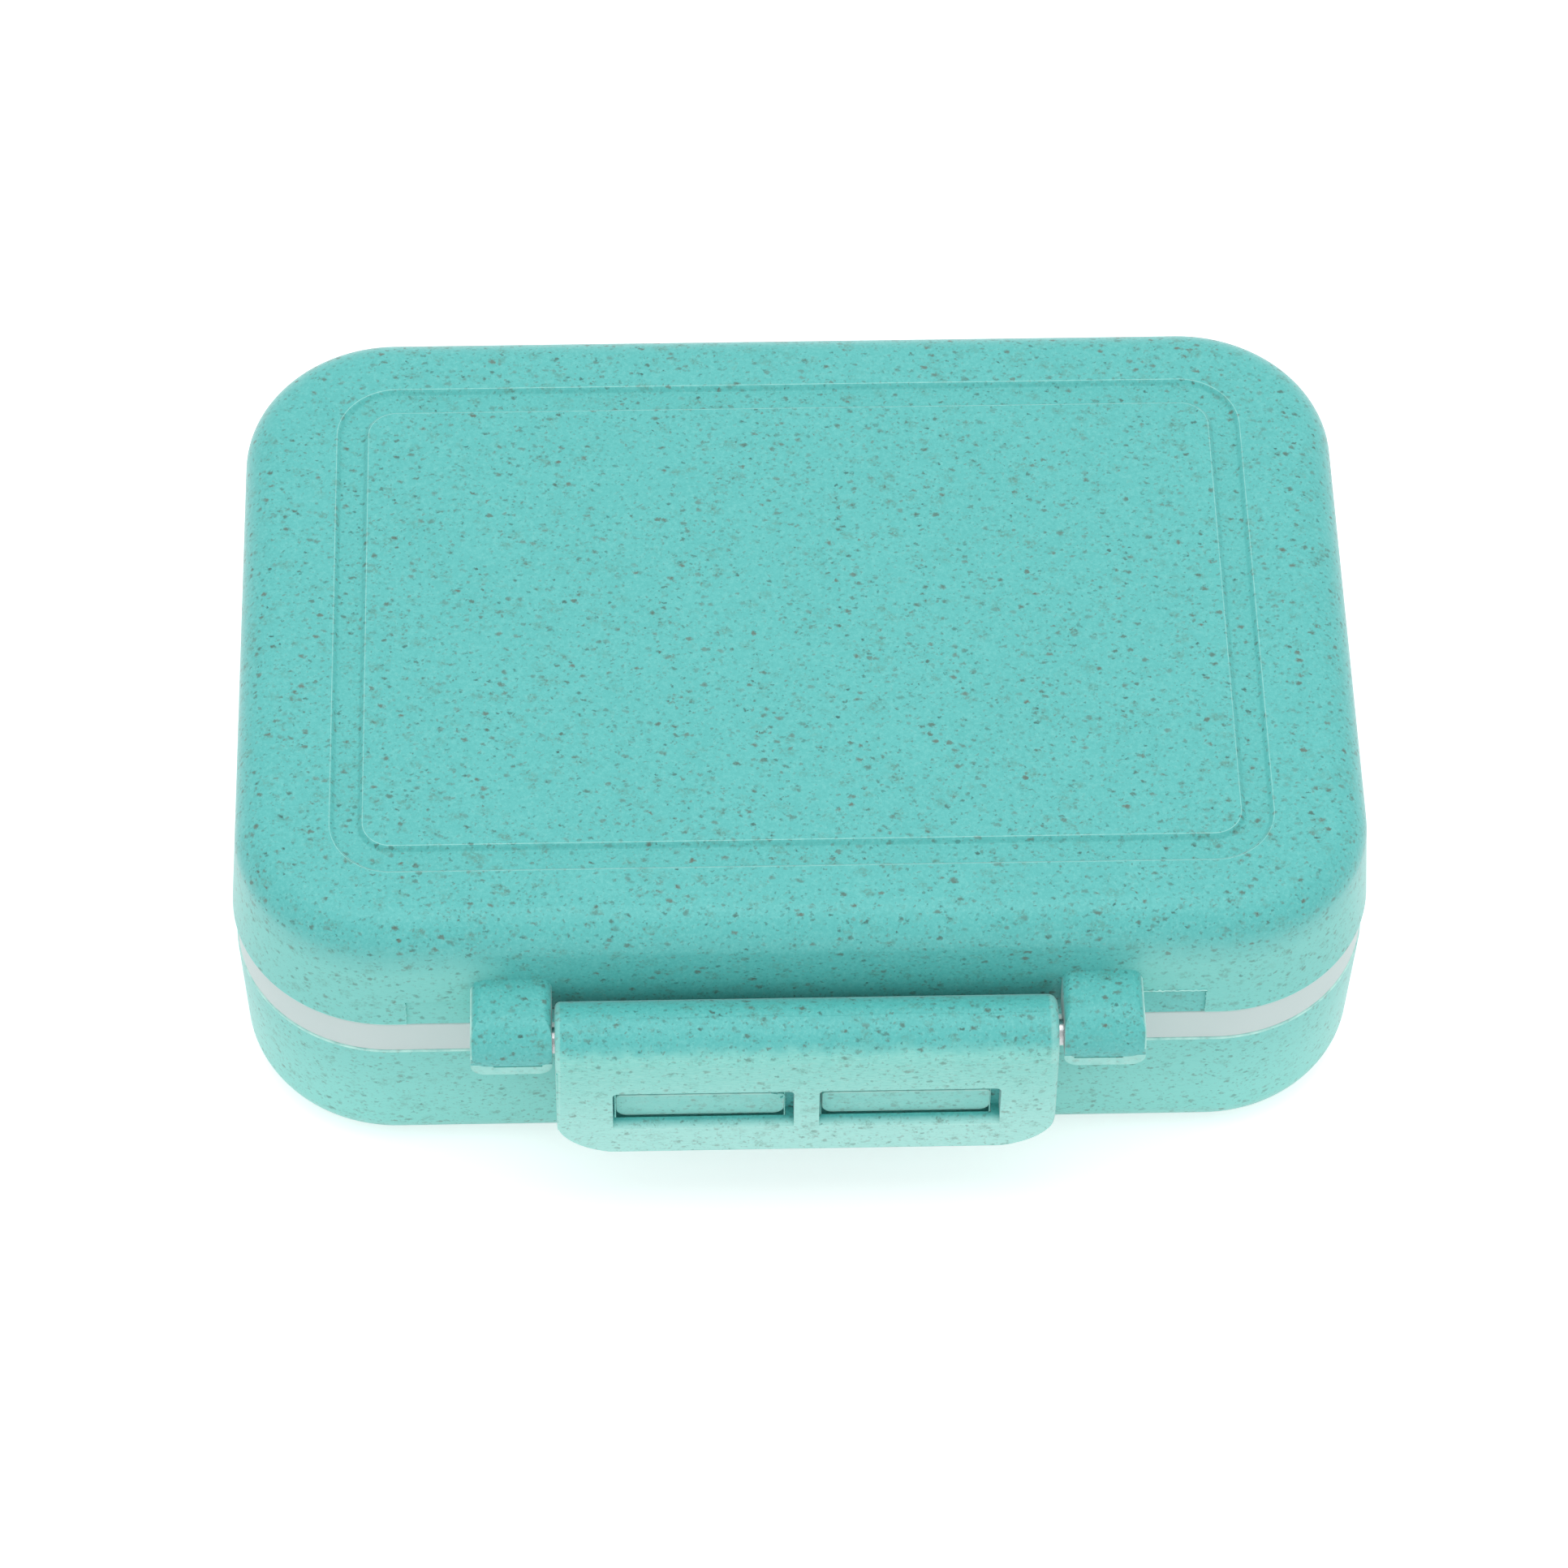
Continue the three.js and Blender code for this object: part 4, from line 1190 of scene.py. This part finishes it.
# Divider guides: pairs of ribs on the tray's walls
def guide_rib_tree():
    tree, given = shape_tree("divider_guides", (
        ("Rib thickness", "Float"), ("Rib depth", "Float"), ("Rib height", "Float"),
        ("Pair spacing", "Float"), ("Column spacing", "Float"), ("Wall distance", "Float"),
        ("Floor", "Float"), ("Columns", "Int"), ("Material", "Material")))
    middle_z = node(tree, MATH, {0: given["Rib height"], 1: 0.5, 2: given["Floor"]}, operation="MULTIPLY_ADD")
    rib_size = node(tree, XYZ, {0: given["Rib thickness"], 1: given["Rib depth"],
                                                   2: given["Rib height"]})
    rib = node(tree, "GeometryNodeMeshCube", {"Size": rib_size})

    def line(count, spacing, axis):
        """Points spread evenly about the middle along X or Y."""
        gaps = node(tree, MATH, {0: count, 1: 1.0}, operation="SUBTRACT")
        reach = node(tree, MATH, {0: gaps, 1: spacing}, operation="MULTIPLY")
        start = node(tree, MATH, {0: reach, 1: -0.5}, operation="MULTIPLY")
        return node(tree, "GeometryNodeMeshLine", {
            "Count": count,
            "Start Location": node(tree, XYZ, {axis: start}),
            "Offset": node(tree, XYZ, {axis: spacing})})

    def repeated(points, shape):
        return node(tree, "GeometryNodeInstanceOnPoints", {"Points": points, "Instance": shape})

    pair = repeated(line(2, given["Pair spacing"], 0), rib)
    row = repeated(line(given["Columns"], given["Column spacing"], 0), pair)
    sides = repeated(line(2, given["Wall distance"], 1), row)
    lifted = node(tree, XYZ, {2: middle_z})
    placed = node(tree, "GeometryNodeTransform", {"Geometry": sides, "Translation": lifted})
    return end_tree(tree, placed, given["Material"])


def make_guides():
    walls = [size_of(name) for name in divider_nodes() if "front" in name]
    centres = sorted((low.x + high.x) / 2 for low, high in walls)
    thickness = walls[0][1].x - walls[0][0].x
    wall_face = CASE_DEPTH / 2 - TRAY_INSET - TRAY_WALL
    floor = tray_low.z + TRAY_FLOOR
    tree = guide_rib_tree()
    values = {
        "Rib thickness": GUIDE_RIB_THICKNESS,
        "Rib height": tray_high.z - GUIDE_BELOW_RIM - floor,
        "Pair spacing": thickness + 2 * GUIDE_GAP + GUIDE_RIB_THICKNESS,
        "Column spacing": centres[1] - centres[0],
        "Floor": floor,
        "Columns": len(centres),
        "Material": frosted_plastic,
    }
    outer = {"Wall distance": 2 * wall_face - GUIDE_RIB_DEPTH + GUIDE_ROOT,
             "Rib depth": GUIDE_RIB_DEPTH + GUIDE_ROOT}
    middle = {"Wall distance": 0.0, "Rib depth": CENTRE_WALL + 2 * GUIDE_RIB_DEPTH}
    guides = run_tree(empty_object("divider_guides"), tree, {**values, **outer})
    joined(guides, [run_tree(empty_object("middle_guides"), tree, {**values, **middle})])
    edit(guides, lambda bm: bmesh.ops.remove_doubles(bm, verts=bm.verts, dist=MERGED))
    edit(guides, outward)
    soften(guides, TRAY_EDGE, segments=3)
    return finish(guides, "base", frosted_plastic, [])


# Seal: a band with two sealing beads, carried round the case's outline
def ring_tree():
    tree, given = shape_tree("ring_round_outline", (
        ("Width", "Float"), ("Depth", "Float"), ("Corner radius", "Float"), ("Corner steps", "Int"),
        ("Section width", "Float"), ("Section height", "Float"), ("Section radius", "Float"),
        ("Height", "Float"), ("Material", "Material")))

    def rounded(width, height, radius, steps):
        shape = node(tree, "GeometryNodeCurvePrimitiveQuadrilateral", {"Width": width, "Height": height})
        return node(tree, "GeometryNodeFilletCurve", {"Curve": shape, "Count": steps,
                                                      "Radius": radius}, mode="POLY")

    path = rounded(given["Width"], given["Depth"], given["Corner radius"], given["Corner steps"])
    section = rounded(given["Section width"], given["Section height"], given["Section radius"], 5)
    swept = node(tree, "GeometryNodeCurveToMesh", {"Curve": path, "Profile Curve": section})
    lifted = node(tree, XYZ, {2: given["Height"]})
    placed = node(tree, "GeometryNodeTransform", {"Geometry": swept, "Translation": lifted})
    return end_tree(tree, placed, given["Material"])


def make_seal():
    tree = ring_tree()
    outer_inset = CASE_WIDTH / 2 - seal_high.x
    inner_inset = TRAY_INSET - SEAL_GRIP
    height = seal_high.z - seal_low.z

    def ring(name, inset, width, tall, radius, z):
        return run_tree(empty_object(name), tree, {
            "Width": CASE_WIDTH - 2 * inset, "Depth": CASE_DEPTH - 2 * inset,
            "Corner radius": CORNER_RADIUS - inset, "Corner steps": CORNER_STEPS,
            "Section width": width, "Section height": tall, "Section radius": radius, "Height": z,
            "Material": silicone})

    band_outer = outer_inset + SEAL_BAND_INSET
    band = ring("seal_ring_smooth", (band_outer + inner_inset) / 2, inner_inset - band_outer, height,
                SEAL_BAND_CORNER, seal_low.z + height / 2)
    lips = [ring("lip", outer_inset + SEAL_BEAD / 2, SEAL_BEAD, SEAL_BEAD, SEAL_BEAD_CORNER,
                 seal_low.z + height * share) for share in SEAL_BEAD_LEVELS]
    edit(joined(band, lips), outward)
    return finish(band, "base", silicone, ["seal_ring"])


def make_pin(name, body, axis, low, high):
    pin = round_bar(name + "_smooth", axis, (high.z - low.z) / 2, low.x, high.x, PIN_CHAMFER)
    return finish(pin, body, steel, [name])


# Flap
def flap_profile():
    axis_y, axis_z = latch_axis.y, latch_axis.z
    front = flap_low.y
    back = front + FLAP_THICKNESS
    radius = axis_y - front
    tip = flap_low.z
    reach = radius + FLAP_ROOT_FILLET
    fillet_y = back + FLAP_ROOT_FILLET
    fillet_z = axis_z - math.sqrt(reach ** 2 - (fillet_y - axis_y) ** 2)
    touch = math.degrees(math.atan2(fillet_z - axis_z, fillet_y - axis_y))
    round_tip, round_back = FLAP_TIP_RADIUS, FLAP_TIP_BACK_RADIUS
    outline = circle(axis_y, axis_z, radius, 180, touch, 56)
    outline += circle(fillet_y, fillet_z, FLAP_ROOT_FILLET, touch + 180, 180, 10)
    outline += circle(back - round_back, tip + round_back, round_back, 0, -90, 6)
    outline += circle(front + round_tip, tip + round_tip, round_tip, -90, -180, 6)
    return outline


def flap_body():
    """The flap's profile carried along X. Its end edges are rounder at the barrel than lower down."""
    outline = flap_profile()
    normals = []
    for before, after in zip(outline[-1:] + outline[:-1], outline[1:] + outline[:1]):
        along = Vector((after[0] - before[0], after[1] - before[1])).normalized()
        normals.append((along.y, -along.x))

    def ring(side, corner, turn):
        points = []
        for (y, z), (inward_y, inward_z) in zip(outline, normals):
            share = min(max((z - latch_axis.z + BARREL_FADE) / BARREL_FADE, 0.0), 1.0)
            radius = FLAP_EDGE + (corner - FLAP_EDGE) * share * share * (3 - 2 * share)
            inset = radius * (1 - math.cos(turn))
            points.append((side * (flap_high.x - radius * (1 - math.sin(turn))), y + inset * inward_y,
                           z + inset * inward_z))
        return points

    turns = [math.radians(15 * step) for step in range(7)]
    left, right = BARREL_CORNERS
    return lofted("latch_flap_smooth", [ring(-1, left, turn) for turn in reversed(turns)]
                  + [ring(1, right, turn) for turn in turns])


def flap_front_outline():
    half = flap_high.x
    top = flap_high.z + OVERRUN
    points = [(half, top), (-half, top)]
    for side, start in ((-1, 180), (1, 270)):
        for step in range(29):
            turn = math.radians(start + 90 * step / 28)
            points.append((side * (half - FLAP_CORNER_WIDTH) + FLAP_CORNER_WIDTH * math.cos(turn),
                           flap_low.z + FLAP_CORNER_HEIGHT * (1 + math.sin(turn))))
    return points


def lip_back():
    """The inner face of the thin lip that passes in front of the bars."""
    return flap_low.y + BAR_RECESS - BAR_PASS_GAP


def slot_cutter(side):
    """A slot with round upper corners, cut deep but not through. Its sill is a round nose that rises from
    the flap's front to the back of the lip."""
    middle = side * (SLOT_WEB / 2 + SLOT_WIDTH / 2)
    front, back = flap_low.y, flap_low.y + SLOT_END_DEPTH
    points = rounded_outline(SLOT_WIDTH / 2, (SLOT_TOP - SLOT_SILL + OVERRUN) / 2, SLOT_CORNER, 6)
    centre_z = (SLOT_TOP + SLOT_SILL - OVERRUN) / 2
    cutter = extruded("slot", [(x + middle, z + centre_z) for x, z in points], front - OVERRUN, back, "Y")
    nose = []
    for step in range(11):
        turn = math.radians(9 * step)
        nose.append((front + (lip_back() - front) * (1 - math.cos(turn)),
                     SLOT_SILL + SLOT_SILL_RISE * math.sin(turn)))
    side_view = [(front - OVERRUN, SLOT_SILL)] + nose + [
        (back + OVERRUN, SLOT_SILL + SLOT_SILL_RISE), (back + OVERRUN, SLOT_TOP + OVERRUN),
        (front - OVERRUN, SLOT_TOP + OVERRUN)]
    half = SLOT_WIDTH / 2 + OVERRUN
    return combine(cutter, [extruded("sill", side_view, middle - half, middle + half, "X")], "INTERSECT")


def pocket_cutter(side):
    """The way through the flap for a snap bar. The slot is closed behind its ends beyond it."""
    start, end = bar_span(side)
    return block("pocket", (start - POCKET_GAP, lip_back(), flap_low.z - OVERRUN),
                 (end + POCKET_GAP, flap_low.y + FLAP_THICKNESS + OVERRUN, SLOT_TOP - POCKET_BELOW_SLOT_TOP))


def flap_matt_and_pale(middle, place, normal):
    """The flap's plate is matt and painted pale on its front: painted light. The slots are not, and their
    sills are painted pale only towards the front, so they darken towards the bar: painted shade.
    """
    front = flap_low.y
    if abs(middle.x) < SLOT_WEB / 2 + SLOT_WIDTH and front + NEAR < middle.y and middle.z < SLOT_TOP - NEAR:
        sill = middle.y < lip_back() and middle.z > SLOT_SILL and normal.y < -0.02
        return min(max(1.0 - (place.y - front) / SILL_FADE, 0.0), 1.0) if sill else 0.0
    return 1.0 if normal.y < -0.2 and middle.y < front + FLAP_FRONT_DEPTH else 0.0


def side_flash():
    """Thin flash down the left-hand edge of the flap's plate."""
    points = []
    for step in range(33):
        z = latch_axis.z - 0.5 * MM - 9.0 * MM * step / 32
        points.append((-flap_high.x + 0.1 * MM + wander(step, 0.03 * MM), flap_low.y + 0.13 * MM, z))
    return bead(points, FLAP_SIDE_FLASH)


def barrel_line():
    """The mould's parting line, a hair-fine bead along the top of the barrel."""
    radius = latch_axis.y - flap_low.y
    start, end = -16.5 * MM, flap_high.x - BARREL_CORNERS[1]
    points = []
    for step in range(49):
        turn = math.radians(92 + 1.2 * math.sin(step * 0.35) + wander(step, 0.3))
        points.append((start + (end - start) * step / 48, latch_axis.y + radius * math.cos(turn),
                       latch_axis.z + radius * math.sin(turn)))
    return bead(points, PARTING_LINE)


def make_flap():
    half = flap_high.x
    front = flap_low.y
    flap = flap_body()
    outline = extruded("outline", flap_front_outline(), front - OVERRUN, flap_high.y + 2 * OVERRUN, "Y")
    combine(flap, [outline], "INTERSECT")
    clean = shaded_copy(flap)
    combine(flap, [slot_cutter(-1), slot_cutter(1)], "DIFFERENCE")

    def slot_rim(edge):
        place = (edge.verts[0].co + edge.verts[1].co) / 2
        on_front = place.y < front + NEAR and abs(place.x) < SLOT_WEB / 2 + SLOT_WIDTH + NEAR
        above_sill = reach_of(edge, 2)[1] > SLOT_SILL + SLOT_EDGE_START
        return on_front and above_sill and SLOT_SILL - NEAR < place.z < SLOT_TOP + NEAR

    soften(flap, SLOT_EDGE, slot_rim, 3, 50.0)
    bore = round_bar("bore", latch_axis, PIN_RUNNING, -half - OVERRUN, half + OVERRUN)
    combine(flap, [pocket_cutter(-1), pocket_cutter(1), bore], "DIFFERENCE")
    joined(flap, [barrel_line(), side_flash()])
    return finish(flap, "latch", flap_plastic, ["latch_flap"], clean, flap_matt_and_pale)


make_lid()
make_base()
make_tray()
for divider_name in divider_nodes():
    make_divider(divider_name)
make_guides()
make_seal()
make_pin("hinge_pin", "base", hinge_axis, hinge_pin_low, hinge_pin_high)
make_pin("latch_pin", "lid", latch_axis, latch_pin_low, latch_pin_high)
make_flap()


# Stage
WORLD_LEVEL = 0.785
OVERHEAD_POWER = 2.65
FRONT_POWER = 0.3


def white_for_camera(tree):
    """1 for the camera's rays and for those that metal or clear plastic sends on, and 0 for the rest."""
    rays = node(tree, "ShaderNodeLightPath").outputs
    sent_on = {0: rays["Is Glossy Ray"], 1: rays["Is Transmission Ray"]}
    mirrored = node(tree, MATH, sent_on, operation="MAXIMUM")
    return node(tree, MATH, {0: rays["Is Camera Ray"], 1: mirrored}, operation="MAXIMUM")


def make_floor():
    reach = 3.0
    bm = bmesh.new()
    bm.faces.new([bm.verts.new((x, y, 0.0)) for x, y in
                  ((-reach, -reach), (reach, -reach), (reach, reach), (-reach, reach))])
    floor = mesh_object("floor", bm)
    material, tree = new_material("white_paper")
    paper = node(tree, "ShaderNodeBsdfDiffuse", {"Color": linear("#f2f2f2")})
    strength = node(tree, MATH, {0: white_for_camera(tree), 1: 0.5}, operation="MULTIPLY")
    glow = node(tree, "ShaderNodeEmission", {"Strength": strength})
    both = node(tree, "ShaderNodeAddShader", {0: paper, 1: glow})
    node(tree, "ShaderNodeOutputMaterial", {"Surface": both})
    floor.data.materials.append(material)


def make_world():
    world = bpy.data.worlds.new("studio")
    bpy.context.scene.world = world
    world.use_nodes = True
    tree = world.node_tree
    tree.nodes.clear()
    strength = node(tree, MATH, {0: white_for_camera(tree), 1: 1.0 - WORLD_LEVEL, 2: WORLD_LEVEL},
                    operation="MULTIPLY_ADD")
    light = node(tree, "ShaderNodeBackground", {"Color": (1.0, 1.0, 1.0, 1.0), "Strength": strength})
    node(tree, "ShaderNodeOutputWorld", {"Surface": light})


def make_lamp(name, place, target, width, height, power):
    data = bpy.data.lights.new(name, "AREA")
    data.shape = "RECTANGLE"
    data.size = width
    data.size_y = height
    data.energy = power
    lamp = bpy.data.objects.new(name, data)
    lamp.location = place
    lamp.rotation_euler = (Vector(place) - Vector(target)).to_track_quat("Z", "Y").to_euler()
    bpy.context.collection.objects.link(lamp)


make_camera()
make_floor()
make_world()
make_lamp("overhead", (0.0, 0.05, 0.9), (0.0, 0.0, 0.0), 0.9, 0.7, OVERHEAD_POWER)
make_lamp("front", (0.0, -0.9, 0.16), (0.0, 0.0, 0.01), 1.4, 0.25, FRONT_POWER)

bpy.context.scene.view_settings.view_transform = "Standard"
